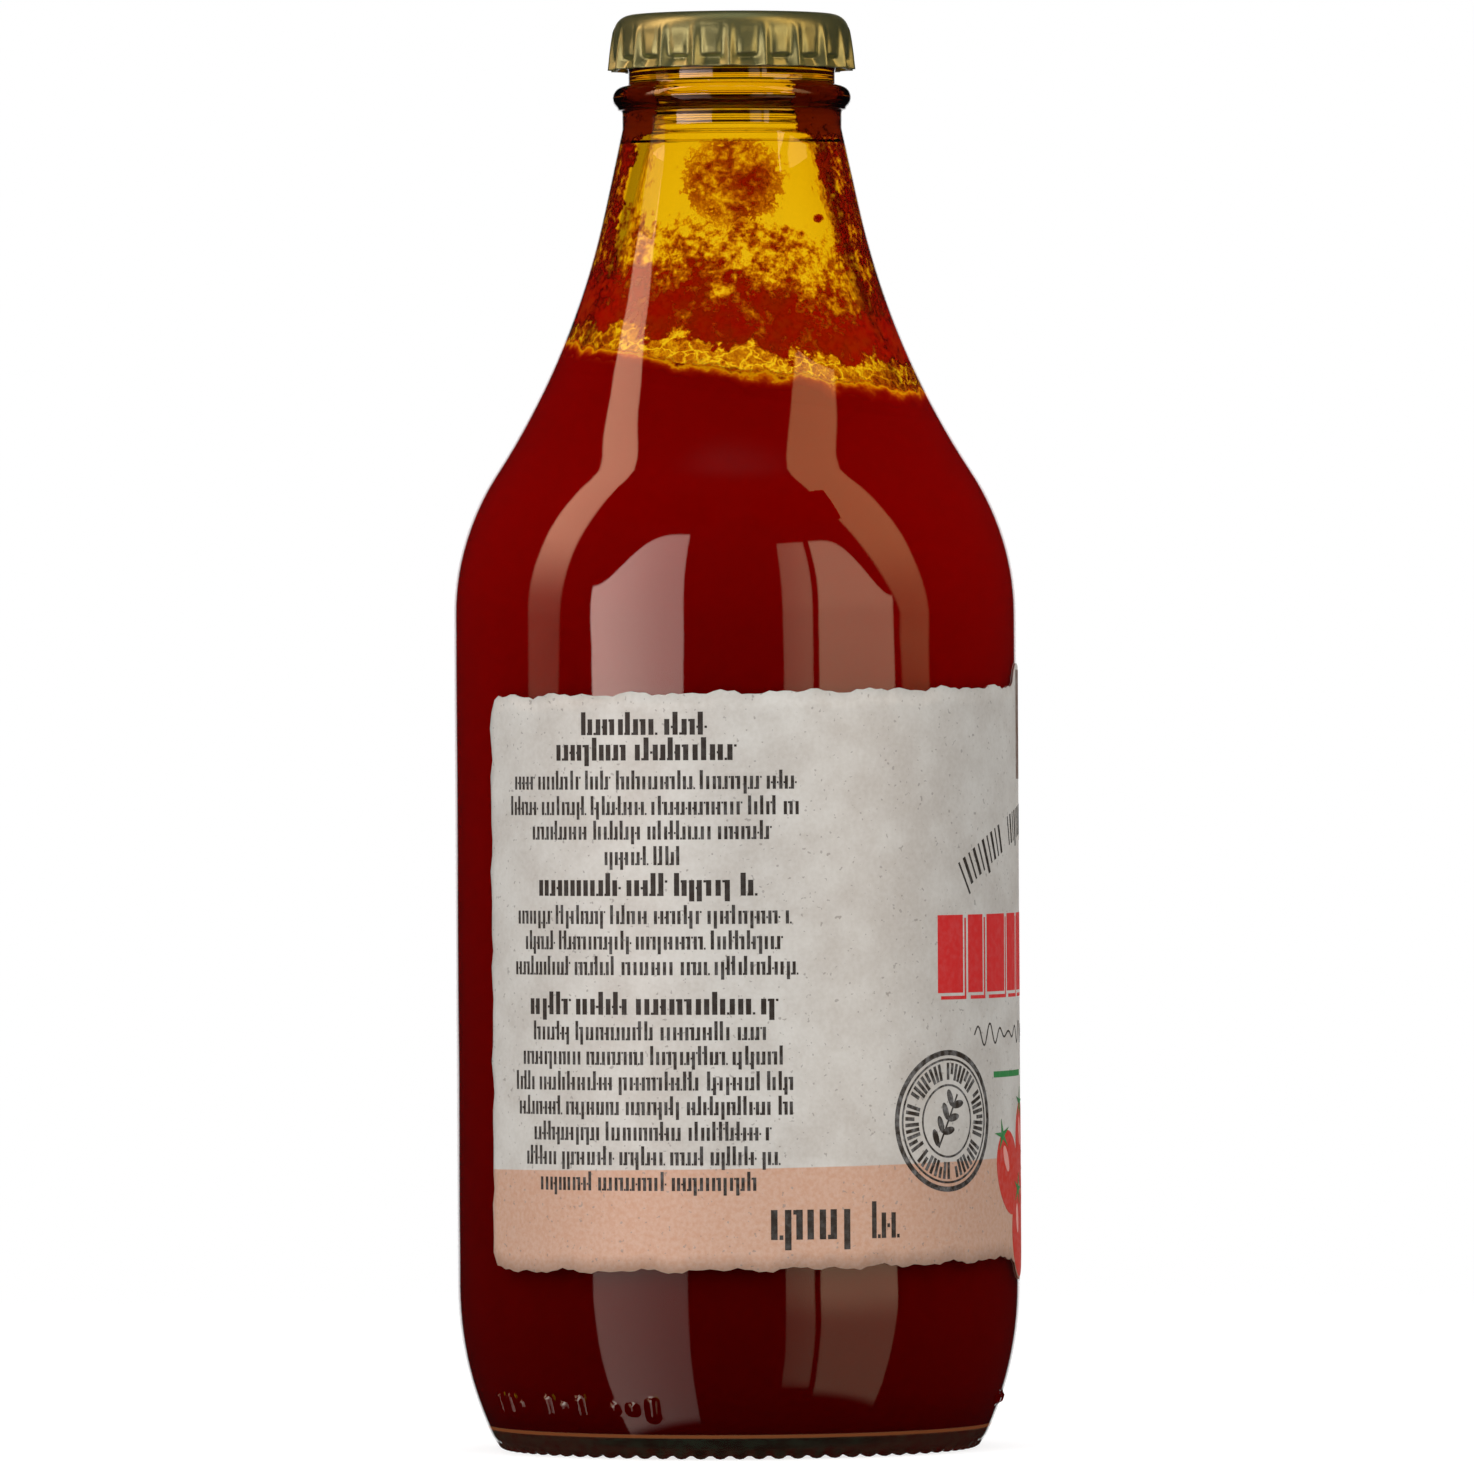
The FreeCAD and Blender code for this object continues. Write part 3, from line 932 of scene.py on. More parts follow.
        def near(point: Vector, room: float) -> float:
            """Height share of the nearest mark at a point.

            Args:
                point: the point.
                room: how far a mark reaches.

            Returns:
                1 on a mark's middle line, 0 beyond its reach.
            """
            if point.xy.length < radius - 2 * MM or abs(point.z - self.mark_height) > self.bar_length:
                return 0.0
            angle = math.atan2(point.x, -point.y)
            best = 0.0
            for mark, half in marks:
                across = (angle - mark) * radius
                up = max(abs(point.z - self.mark_height) - half, 0)
                best = max(best, hump(math.hypot(across, up), 2 * room))
            return best

        edges = [e for e in bm.edges if all(near(v.co, reach * 1.6) > 0 for v in e.verts)]
        bmesh.ops.subdivide_edges(bm, edges=edges, cuts=1, use_grid_fill=True)
        hub = Vector((self.body_radius - self.heel_sweep, self.heel_top))
        for vert in bm.verts:
            share = near(vert.co, self.mark_radius * 1.5)
            if share > 0:
                slope = (Vector((vert.co.xy.length, vert.co.z)) - hub).normalized()
                out = Vector((*(vert.co.xy.normalized() * slope.x), slope.y))
                vert.co += out * self.mark_proud * min(share * 1.5, 1)

    def lower_knobs(self, bm: bmesh.types.BMesh) -> None:
        """Push the ring of small knobs down out of the foot.

        Args:
            bm: the glass.
        """
        centre, _ = self.heel_corner(0, self.knob_proud, self.foot_round)
        radius = centre[0] + self.knob_inset
        pitch = 2 * math.pi / self.knobs
        for vert in bm.verts:
            if vert.co.z > self.knob:
                continue
            off = vert.co.xy.length - radius
            angle = math.atan2(vert.co.x, -vert.co.y)
            along = (angle / pitch - round(angle / pitch)) * pitch * radius
            away = math.hypot(off, along)
            if away < self.knob:
                vert.co.z = min(vert.co.z, self.knob - math.sqrt(self.knob ** 2 - away ** 2))

    def mesh(self) -> bmesh.types.BMesh:
        """Model the glass as one closed wall.

        Returns:
            The mesh.
        """
        bm = self.outline().spin(self.knobs * self.columns_per_knob)
        self.lower_knobs(bm)
        self.raise_marks(bm)
        return bm

    def dress(self, finish: AmberGlass) -> bpy.types.Object:
        """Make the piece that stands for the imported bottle.

        Args:
            finish: its finish.

        Returns:
            The new piece.
        """
        piece = finish_mesh("glass", self.mesh(), finish.build())
        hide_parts("bottle")
        return piece


@dataclass
class SauceFill:
    """The sauce, up to a slanting level, reaching just into the glass."""

    bottle: GlassBottle
    level: float
    tilt: float
    bite: float = 0.05 * MM
    columns: int = 192
    meniscus: float = 0.2 * MM
    meniscus_width: float = 2.2 * MM
    rim_gap: float = 0.08 * MM

    def mesh(self) -> bmesh.types.BMesh:
        """Model the sauce as a closed turned body, cut off at its level.

        Returns:
            The mesh.
        """
        line = self.bottle.inside(-self.bite)
        line.line(0, line.points[-1][1])
        bm = line.spin(self.columns)
        normal, middle = slant(self.tilt), Vector((0, 0, self.level))
        cut(bm, middle, normal, clear_outer=True)
        bmesh.ops.remove_doubles(bm, verts=[v for v in bm.verts if v.is_boundary], dist=self.rim_gap)
        rim = [e for e in bm.edges if e.is_boundary]
        top = bmesh.ops.contextual_create(bm, geom=rim)["faces"]
        for share in (0.25, 0.5, 1.0, 2.0, 4.0):
            bmesh.ops.inset_region(bm, faces=top, thickness=self.meniscus_width * share / 4, use_even_offset=False)
        bmesh.ops.poke(bm, faces=top)
        for vert in bm.verts:
            above = (vert.co - middle).dot(normal)
            if abs(above) < 1e-6:
                wall = line.radius_at(vert.co.z) - vert.co.xy.length
                vert.co += normal * self.meniscus * math.exp(-max(wall, 0) / (self.meniscus_width / 3))
                reach = line.radius_at(vert.co.z) / vert.co.xy.length
                if reach < 1:
                    vert.co.xy *= reach
        bmesh.ops.recalc_face_normals(bm, faces=bm.faces)
        return bm

    def dress(self, finish: TomatoSauce) -> bpy.types.Object:
        """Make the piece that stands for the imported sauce.

        Args:
            finish: its finish.

        Returns:
            The new piece.
        """
        piece = finish_mesh("sauce_fill", self.mesh(), finish.build())
        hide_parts("sauce")
        return piece


@dataclass
class NeckFilm:
    """Thin skin of sauce just inside the glass of the neck, above the slanting level."""

    bottle: GlassBottle
    level: float
    tilt: float
    bite: float = 0.06 * MM
    thickness: float = 0.03 * MM
    top: float = 162.0 * MM
    dip: float = 2.6 * MM
    columns: int = 240

    def mesh(self) -> bmesh.types.BMesh:
        """Model the skin as a closed band, cut off a little under the sauce's level.

        Returns:
            The mesh.
        """
        skins = []
        for bite in (self.bite + self.thickness, self.bite):
            points = self.bottle.inside(-bite).points
            skins.append([(r + self.bottle.ripple(z), z) for r, z in points if self.bottle.wall_top < z < self.top])
        outer, inner = skins
        band = Outline(*outer[0])
        band.points = outer + inner[::-1] + outer[:1]
        bm = band.spin(self.columns)
        cut(bm, Vector((0, 0, self.level - self.dip)), slant(self.tilt), clear_inner=True)
        bmesh.ops.bridge_loops(bm, edges=[edge for edge in bm.edges if edge.is_boundary])
        bmesh.ops.recalc_face_normals(bm, faces=bm.faces)
        return bm

    def dress(self, finish: SauceFilm) -> bpy.types.Object:
        """Make the piece."""
        return finish_mesh("neck_film", self.mesh(), finish.build())


@dataclass
class CrownCap:
    """Crimped cap: a round-edged top and a skirt pinched into flutes."""

    top: float
    rim: float
    lock: float
    lock_foot: float
    flutes: int = 21
    columns_per_flute: int = 24
    thickness: float = 0.25 * MM
    seat: float = 0.05 * MM
    edge_round: float = 2.0 * MM
    ridge: float = 0.95 * MM
    ridge_tip: float = 0.09
    ridge_power: float = 1.0
    tongue: float = 0.2 * MM
    groove: float = 0.22 * MM
    tuck: float = 0.55 * MM
    flare: float = 0.5 * MM
    crease_drop: float = 1.15 * MM
    crease_soft: float = 0.25 * MM
    first_ridge: float = -1.0
    tongue_rise: float = 0.7 * MM
    tongue_height: float = 4.6 * MM
    tongue_width: float = 0.62
    tongue_steep: float = 1.6
    groove_place: float = 0.17
    groove_width: float = 0.3

    def flute(self, share: float, height: float) -> float:
        """How far the skirt stands out.

        Args:
            share: place within one flute, from 0 on a ridge to 1 on the next.
            height: height above the table.

        Returns:
            The distance out from the plain skirt.
        """
        start = self.top - self.edge_round * 0.7
        down = min(max((start - height) / (start - self.rim), 0), 1)
        side = math.hypot(math.sin(math.pi * share), self.ridge_tip) / math.hypot(1, self.ridge_tip)
        crest = (1 - side) ** (self.ridge_power + down) * self.ridge * down ** 0.75
        crease = self.lock_foot - self.crease_drop
        under = min(max((crease + self.crease_soft - height) / (2 * self.crease_soft), 0), 1)
        under = under * under * (3 - 2 * under)
        fold = crease - self.crease_soft
        floor = min(max((fold - height) / (fold - self.rim), 0), 1)
        middle = min(side * 1.25, 1) ** 2
        tongue = self.tongue * hump(height - (crease + self.tongue_rise), self.tongue_height)
        tongue *= min(hump(share - 0.5, self.tongue_width) * self.tongue_steep, 1)
        groove = sum(hump(share - place, self.groove_width) for place in (self.groove_place, 1 - self.groove_place))
        groove *= self.groove * down ** 0.5
        return crest + (tongue - groove) * (1 - under) - middle * under * (self.tuck - self.flare * floor)

    def mesh(self) -> bmesh.types.BMesh:
        """Model the cap as a thin closed shell.

        Returns:
            The mesh.
        """
        hug = self.lock + self.seat + self.thickness
        outer = Outline(0, self.top)
        outer.line(hug - self.edge_round, self.top, 6)
        outer.arc((hug - self.edge_round, self.top - self.edge_round), hug, self.top - self.edge_round, 10)
        outer.line(hug, self.rim, 26)
        inset = self.thickness
        outer.line(hug - inset, self.rim)
        outer.line(hug - inset, self.top - self.edge_round, 26)
        outer.arc((hug - self.edge_round, self.top - self.edge_round), hug - self.edge_round, self.top - inset, 8)
        outer.line(0, self.top - inset, 2)
        bm = outer.spin(self.flutes * self.columns_per_flute)
        for vert in bm.verts:
            if vert.co.z > self.top - inset - 1e-6 and vert.co.xy.length < hug - self.edge_round:
                continue
            angle = math.degrees(math.atan2(vert.co.x, -vert.co.y)) - self.first_ridge
            share = angle * self.flutes / 360 % 1
            out = self.flute(share, vert.co.z)
            if vert.co.z > self.lock_foot and vert.co.xy.length < hug - inset / 2:
                out = max(out, 0)
            vert.co.xy *= 1 + out / vert.co.xy.length
        return bm

    def dress(self, finish: GoldLacquer) -> bpy.types.Object:
        """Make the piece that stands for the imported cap.

        Args:
            finish: its finish.

        Returns:
            The new piece.
        """
        piece = finish_mesh("cap", self.mesh(), finish.build())
        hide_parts("crown_cap")
        return piece


@dataclass
class Label:
    """Paper strip with wavy edges and round corners, wrapped round the wall."""

    wall: float
    foot: float
    head: float
    gap: float = 0.05 * MM
    thickness: float = 0.12 * MM
    front: float = 93.0
    sweep: float = 304.0
    rise: float = 2.0 * MM
    corner: float = 2.0 * MM
    wave: float = 0.3 * MM
    wave_length: float = 7.0 * MM
    beat_length: float = 25.0 * MM
    nick: float = 0.12 * MM
    nick_length: float = 1.9 * MM
    tab_width: float = 14.0 * MM
    tab_rise: float = 2.3 * MM
    tab_ramp: float = 2.0 * MM
    lobe_width: float = 9.0 * MM
    lobe_drop: float = 2.9 * MM
    lobe_spacing: float = 13.0 * MM
    end_fade: float = 6.0 * MM
    column: float = 0.8 * MM
    rows: int = 34

    @property
    def outer(self) -> float:
        """Radius of the label's printed side."""
        return self.wall + self.gap + self.thickness

    @property
    def length(self) -> float:
        """Length round the bottle."""
        return math.radians(self.sweep) * self.outer

    @property
    def start(self) -> float:
        """Angle of the label's start, in radians."""
        return math.radians(self.front - self.sweep / 2)

    @property
    def middle(self) -> float:
        """Run from the angle 0 to the label's middle."""
        return self.outer * math.radians(self.front)

    def ripple(self, run: float, phase: float) -> float:
        """Uneven wave of the torn edge.

        Args:
            run: place along the edge.
            phase: radians that set one edge apart from another.

        Returns:
            How far the edge stands out there.
        """
        turn = 2 * math.pi * run
        wave = math.sin(turn / self.wave_length + phase) * math.cos(turn / self.beat_length + phase)
        nick = math.sin(turn / self.nick_length + 3 * math.sin(turn / self.beat_length * 2 + phase))
        return self.wave * wave + self.nick * nick

    def edges(self, run: float) -> Pair:
        """Lower and upper edge at a run from the label's start.

        Args:
            run: run from the label's start.

        Returns:
            The lower and the upper height.
        """
        skew = self.rise * run / self.length
        low = self.foot + skew + self.ripple(run, 0)
        high = self.head + skew + self.ripple(run, 1)
        off = run - self.length / 2
        high += self.tab_rise * hump(max(abs(off) - self.tab_width / 2, 0), 2 * self.tab_ramp)
        for side in (-0.5, 0.5):
            low -= self.lobe_drop * hump(off - side * self.lobe_spacing, self.lobe_width)
        inside = max(self.corner - min(run, self.length - run), 0)
        cut = self.corner - math.sqrt(max(self.corner ** 2 - inside ** 2, 0))
        return low + cut, high - cut

    def mesh(self) -> bmesh.types.BMesh:
        """Model the label flat as a thin sheet, then wrap it.

        Returns:
            The mesh.
        """
        columns = round(self.length / self.column)
        bm = bmesh.new()
        bmesh.ops.create_grid(bm, x_segments=columns, y_segments=self.rows, size=0.5)
        for vert in bm.verts:
            across, up = vert.co.x + 0.5, vert.co.y + 0.5
            run = across * self.length
            low, high = self.edges(run)
            height = low + (high - low) * up
            end = hump(min(run, self.length - run), self.end_fade)
            side = 1 if run < self.length / 2 else -1
            vert.co = Vector((run + side * end * self.ripple(height, 2), 0, height))
        bmesh.ops.recalc_face_normals(bm, faces=bm.faces)
        if sum(face.normal.y for face in bm.faces) > 0:
            bmesh.ops.reverse_faces(bm, faces=bm.faces)
        bmesh.ops.solidify(bm, geom=bm.faces[:], thickness=self.thickness)
        inward = max(vert.co.y for vert in bm.verts)
        for vert in bm.verts:
            depth = vert.co.y if inward > self.thickness / 2 else vert.co.y + self.thickness
            vert.co = side_point(self.outer - depth, self.start + vert.co.x / self.outer, vert.co.z)
        bmesh.ops.recalc_face_normals(bm, faces=bm.faces)
        return bm

    def dress(self, finish: LabelPaper) -> bpy.types.Object:
        """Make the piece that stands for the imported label.

        Args:
            finish: its finish.

        Returns:
            The new piece.
        """
        piece = finish_mesh("paper", self.mesh(), finish.build())
        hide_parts("label")
        return piece


class Print:
    """Printed shapes, drawn flat on the unrolled wall, then wrapped on to the label as thin solids."""

    def __init__(self, label: Label, lift: float = 0.02 * MM, depth: float = 0.03 * MM) -> None:
        """Start an empty print a little above the paper.

        Args:
            label: the label under it.
            lift: height of its foot over the paper.
            depth: its thickness.
        """
        self.label = label
        self.lift = lift
        self.depth = depth
        self.bm = bmesh.new()

    def polygon(self, points: list[Pair]) -> None:
        """Add a filled shape with its corners in order."""
        self.bm.faces.new([self.bm.verts.new((x, 0, z)) for x, z in points])

    def bar(self, x: float, z: float, width: float, height: float, lean: float = 0.0) -> None:
        """Add an upright bar from its lower left corner, leaning right at its top."""
        self.polygon([(x, z), (x + width, z), (x + width + lean, z + height), (x + lean, z + height)])

    def disc(self, x: float, z: float, wide: float, high: float, turn: float = 0.0, corners: int = 32) -> None:
        """Add an ellipse by its half width and half height.

        Args:
            x: its middle's run.
            z: its middle's height.
            wide: its half width.
            high: its half height.
            turn: radians that it leans to the right.
            corners: number of corners.
        """
        place = Matrix.Translation((x, 0, z)) @ Matrix.Rotation(turn, 4, "Y") @ Matrix.Diagonal((wide, 1, high, 1))
        place = place @ Matrix.Rotation(math.pi / 2, 4, "X")
        bmesh.ops.create_circle(self.bm, cap_ends=True, segments=corners, radius=1, matrix=place)

    def ring(self, x: float, z: float, outer: float, inner: float, corners: int = 72) -> None:
        """Add a ring by its two radii.

        Args:
            x: its middle's run.
            z: its middle's height.
            outer: its outer radius.
            inner: its inner radius.
            corners: number of corners.
        """
        edges = []
        for radius in (outer, inner):
            place = Matrix.Translation((x, 0, z)) @ Matrix.Rotation(math.pi / 2, 4, "X")
            made = bmesh.ops.create_circle(self.bm, cap_ends=False, segments=corners, radius=radius, matrix=place)
            edges += list({edge for vert in made["verts"] for edge in vert.link_edges})
        bmesh.ops.bridge_loops(self.bm, edges=edges)

    def stroke(self, points: list[Pair], width: float) -> None:
        """Add a line of even width through points.

        Args:
            points: the points.
            width: its width.
        """
        path = [Vector(point) for point in points]
        for a, b in zip(path, path[1:]):
            side = Vector((a.y - b.y, b.x - a.x)).normalized() * width / 2
            self.polygon([tuple(a - side), tuple(b - side), tuple(b + side), tuple(a + side)])

    def ray(self, x: float, z: float, angle: float, reach: Pair, width: float) -> None:
        """Add a stroke that points away from a hub, between two distances from it."""
        self.stroke([(x + r * math.sin(angle), z + r * math.cos(angle)) for r in reach], width)

    def words(self, middle: float, z: float, width: float, size: float, heavy: float, rng: random.Random) -> None:
        """Add a line of small upright ticks in groups, as a text's stand-in.

        Args:
            middle: middle of the line.
            z: its foot.
            width: its length.
            size: height of a small tick.
            heavy: width of a tick as a share of its height.
            rng: source of the groups' lengths.
        """
        x = middle - width / 2
        pitch = size * (0.2 + heavy)
        while x < middle + width / 2 - pitch:
            for _ in range(rng.randint(5, 15)):
                if x > middle + width / 2 - pitch:
                    break
                kind = rng.random()
                height = size * (1.45 if kind > 0.82 else 1.0)
                foot = z - size * (0.35 if kind < 0.07 else 0.0)
                self.bar(x, foot, size * heavy, height + z - foot)
                if rng.random() < 0.6:
                    level = rng.choice((0.0, 0.42, 0.84))
                    self.bar(x + size * heavy * 1.3, z + size * level, pitch * 0.3, size * 0.15)
                x += pitch * rng.uniform(0.9, 1.15)
            x += pitch * 0.9

    def wrap(self, name: str, ink: Ink, step: float = 1.0 * MM) -> bpy.types.Object:
        """Cut the shapes into narrow strips, thicken them and wrap them.

        Args:
            name: the piece's name.
            ink: its finish.
            step: width of the strips.

        Returns:
            The new object.
        """
        low = min(vert.co.x for vert in self.bm.verts)
        high = max(vert.co.x for vert in self.bm.verts)
        for i in range(math.ceil(low / step), math.ceil(high / step)):
            cut(self.bm, Vector((i * step, 0, 0)), Vector((1, 0, 0)))
        for face in self.bm.faces:
            face.normal_update()
        away = [face for face in self.bm.faces if face.normal.y > 0]
        bmesh.ops.reverse_faces(self.bm, faces=away)
        radius = self.label.outer + self.lift
        for vert in self.bm.verts:
            vert.co = side_point(radius, vert.co.x / self.label.outer, vert.co.z)
        self.bm.normal_update()
        geom = self.bm.verts[:] + self.bm.edges[:] + self.bm.faces[:]
        bmesh.ops.solidify(self.bm, geom=geom, thickness=self.depth)
        return finish_mesh(name, self.bm, ink.build(), smooth=False)


@dataclass
class LabelPrint:
    """Generic print: ticks for text, a stamp, a red title block, a rule and tomatoes."""

    label: Label
    seed: int = 7
    dark: Colour = (0.02, 0.017, 0.015)
    red: Colour = (0.62, 0.02, 0.02)
    green: Colour = (0.03, 0.22, 0.06)
    brown: Colour = (0.14, 0.085, 0.06)
    white: Colour = (0.8, 0.8, 0.78)
    fruit: Colour = (0.55, 0.03, 0.015)
    pink: Colour = (0.75, 0.3, 0.25)
    text_middle: float = -10.8 * MM
    text_lines: tuple[tuple[float, float, bool], ...] = (
        (82.6, 15.5, True), (79.7, 22.5, True), (76.4, 36.0, False), (73.5, 37.5, False), (70.7, 30.0, False),
        (67.8, 9.5, False), (64.3, 28.0, True), (61.1, 35.0, False), (58.2, 32.5, False), (55.3, 36.0, False),
        (50.8, 31.0, True), (47.9, 30.0, False), (45.1, 33.5, False), (42.2, 36.0, False), (39.4, 35.0, False),
        (36.5, 30.0, False), (33.7, 32.5, False), (30.8, 28.0, False))
    quantity_foot: float = 25.2 * MM
    stamp: Pair = (27.0 * MM, 38.3 * MM)
    stamp_radius: float = 8.1 * MM
    stamp_ticks: int = 54
    title_start: float = 25.4 * MM
    title_foot: float = 52.9 * MM
    title_height: float = 8.9 * MM
    title_gap: float = 1.0 * MM
    title_widths: tuple[float, ...] = (4.4, 3.1, 5.0, 3.7, 4.4, 3.1, 5.0, 3.7, 4.4, 3.1, 5.0)
    arch_hub: float = 28.0 * MM
    arch_radius: float = 43.0 * MM
    arch_half: float = 31.0
    arch_ticks: int = 46
    panel_size: Pair = (13.2 * MM, 12.6 * MM)
    panel_drop: float = 10.8 * MM
    line_height: float = 48.0 * MM
    line_half: float = 21.0 * MM
    rule_height: float = 43.0 * MM
    rule_part: Pair = (11.0 * MM, 0.7 * MM)
    tomato: Pair = (3.9 * MM, 5.2 * MM)
    tomatoes_at: tuple[tuple[float, ...], ...] = (
        (-6.5, 25.0, -8), (6.5, 25.0, 10), (0.0, 28.0, 3), (-11.5, 32.0, -30), (11.5, 31.5, 28), (-4.5, 35.0, -14),
        (5.5, 35.5, 18))

    def text_block(self, middle: float) -> None:
        """Add a block of text on one side of the label.

        Args:
            middle: run of the block's middle.
        """
        rng = random.Random(self.seed)
        small, bold = Print(self.label), Print(self.label)
        for height, width, heavy in self.text_lines:
            target, size, weight = (bold, 1.8 * MM, 0.33) if heavy else (small, 1.5 * MM, 0.245)
            target.words(middle, height * MM, width * MM, size, weight, rng)
        tag = "left" if middle < self.stamp[0] else "right"
        small.wrap(f"text_{tag}", Ink(f"text_ink_{tag}", self.dark, 0.15))
        bold.wrap(f"headings_{tag}", Ink(f"heading_ink_{tag}", self.dark, 0.05))

    def quantity(self) -> None:
        """Add the large ticks at the foot of the text."""
        rng = random.Random(self.seed + 2)
        shapes = Print(self.label)
        shapes.words(9.0 * MM, self.quantity_foot, 10.6 * MM, 3.4 * MM, 0.22, rng)
        shapes.words(18.0 * MM, self.quantity_foot, 4.4 * MM, 2.9 * MM, 0.2, rng)
        shapes.wrap("quantity_ticks", Ink("quantity_ink", self.dark, 0.1))

    def round_stamp(self) -> None:
        """Add a round stamp with three rings, a ring of ticks and a sprig."""
        shapes = Print(self.label)
        x, z = self.stamp
        big = self.stamp_radius
        for outer, inner in ((big, big - 0.6 * MM), (big - 0.95 * MM, big - 1.2 * MM), (big * 0.52, big * 0.49)):
            shapes.ring(x, z, outer, inner)
        for i in range(self.stamp_ticks):
            if i % 9 != 8:
                reach = (big * (0.66 if i % 4 == 1 else 0.58), big * 0.82)
                shapes.ray(x, z, math.tau * i / self.stamp_ticks, reach, 0.42 * MM)
        stem = [(x - 1.6 * MM + 0.4 * MM * i, z - 3.0 * MM + 0.75 * MM * i) for i in range(9)]
        shapes.stroke(stem, 0.25 * MM)
        leaf = 1.05 * MM
        for i, (foot, height) in enumerate(stem[1:-1]):
            side = 1 if i % 2 else -1
            turn = math.radians(30 + side * 50)
            shapes.disc(foot + side * leaf * 0.8, height + leaf * 0.35, 0.45 * MM, leaf, turn, 16)
        shapes.wrap("stamp", Ink("stamp_ink", self.dark, 0.35))

    def title(self) -> None:
        """Add the red title as a row of plain blocks with a thin red edge beside them."""
        blocks, edges = Print(self.label), Print(self.label)
        x, foot, tall = self.title_start, self.title_foot, self.title_height
        for width in self.title_widths:
            wide = width * MM
            blocks.bar(x, foot, wide, tall)
            edges.bar(x + 0.5 * MM, foot - 0.75 * MM, wide + 0.1 * MM, 0.4 * MM)
            edges.bar(x + wide + 0.3 * MM, foot - 0.35 * MM, 0.3 * MM, tall)
            x += wide + self.title_gap
        blocks.wrap("title_blocks", Ink("title_red", self.red, 0.06))
        edges.wrap("title_edges", Ink("title_edge_red", self.red, 0.1))

    def arch(self) -> None:
        """Add an arched row of ticks over the title."""
        shapes = Print(self.label)
        for i in range(self.arch_ticks):
            if i % 12 in (10, 11):
                continue
            angle = math.radians(-self.arch_half + 2 * self.arch_half * i / (self.arch_ticks - 1))
            inner = self.arch_radius - (0.8 * MM if i % 5 == 0 else 0)
            reach = (inner, self.arch_radius + 3.4 * MM)
            shapes.ray(self.label.middle, self.arch_hub, angle, reach, 0.5 * MM if i % 2 else 0.28 * MM)
        shapes.wrap("arch_ticks", Ink("arch_ink", self.dark, 0.1))

    def front_art(self) -> None:
        """Add the plain panel, the wavy line and the rule of the front."""
        middle = self.label.middle
        panel = Print(self.label)
        head = self.label.head + self.label.rise / 2
        panel.bar(middle - self.panel_size[0] / 2, head - self.panel_drop, *self.panel_size)
        panel.wrap("panel", Ink("panel_brown", self.brown, 0.3))
        script = Print(self.label)
        swell = [1.3 * MM * math.sin(i * 0.55) * (0.6 + 0.4 * math.sin(i * 0.13)) for i in range(168)]
        left = middle - self.line_half
        script.stroke([(left + 0.25 * MM * i, self.line_height + rise) for i, rise in enumerate(swell)], 0.22 * MM)
        script.wrap("wavy_line", Ink("line_ink", self.dark, 0.2))
        for i, (name, colour) in enumerate((("green", self.green), ("white", self.white), ("red", self.red))):
            rule = Print(self.label)
            rule.bar(middle + (i - 1.5) * self.rule_part[0], self.rule_height, *self.rule_part)
            rule.wrap(f"rule_{name}", Ink(f"rule_{name}", colour, 0.05))

    def tomatoes(self) -> None:
        """Add a bunch of plain oval tomatoes with green stars at the front's foot."""
        fruit, shine, leaves = (Print(self.label, lift * MM) for lift in (0.03, 0.05, 0.06))
        for x, z, lean in self.tomatoes_at:
            turn = math.radians(lean)
            x, z = self.label.middle + x * MM, z * MM
            fruit.disc(x, z, *self.tomato, turn, 40)
            shine.disc(x - 1.3 * MM, z + 1.6 * MM, 0.7 * MM, 1.7 * MM, turn, 20)
            top = Vector((x + 5.0 * MM * math.sin(turn), z + 5.0 * MM * math.cos(turn)))
            for i in range(5):
                angle = turn + math.radians(72 * i + 20)
                tip = top + Vector((2.4 * MM * math.sin(angle), 1.9 * MM * math.cos(angle)))
                side = Vector((0.35 * MM * math.cos(angle), -0.35 * MM * math.sin(angle)))
                leaves.polygon([tuple(top - side), tuple(top + side), tuple(tip)])
        fruit.wrap("tomatoes", Ink("tomato_red", self.fruit, 0.12))
        shine.wrap("tomato_shine", Ink("tomato_pink", self.pink, 0.3))
        leaves.wrap("tomato_leaves", Ink("leaf_green", self.green, 0.1))

    def dress(self) -> None:
        """Print the whole label."""
        self.text_block(self.text_middle)
        self.text_block(2 * self.label.middle - self.text_middle)
        self.quantity()
        self.round_stamp()
        self.title()
        self.arch()
        self.front_art()
        self.tomatoes()


@dataclass(frozen=True)
class Panel:
    """White panel that gloss shows, by the angles it fills as the bottle sees it, in degrees."""

    left: float
    right: float
    low: float
    high: float
    glow_left: float
    glow_right: float
    foot_share: float = 1.0
    soft: float = 0.6
    fade: Pair = (-12.0, 7.0)
    tint: Colour = (1.3, 0.96, 0.84)
    lean: Pair = (0.0, 0.0)
    corner: float = 0.0

    def shade(self, nodes: Nodes, turn: Signal, rise: Signal) -> Signal:
        """Colour of the panel in a direction.

        Args:
            nodes: builder of the tree.
            turn: degrees from the front towards +X.
            rise: degrees above the table.

        Returns:
            The colour.
        """
        span = nodes.span
        from_left = turn - (rise * self.lean[0] + self.left)
        from_right = rise * self.lean[1] + self.right - turn
        wide = span(nodes.math("MINIMUM", from_left, from_right), -self.soft, self.soft)
        outward = span(turn, *sorted((self.left, self.right), key=abs))
        top = self.high - outward * outward * self.corner
        tall = span(rise, self.low - 2, self.low + 2) * span(rise - top, 0.8, -0.8)
        glow = span(turn, self.left, self.right, self.glow_left, self.glow_right)
        return nodes.vector("SCALE", self.tint, wide * tall * glow * span(rise, *self.fade, self.foot_share, 1.0))


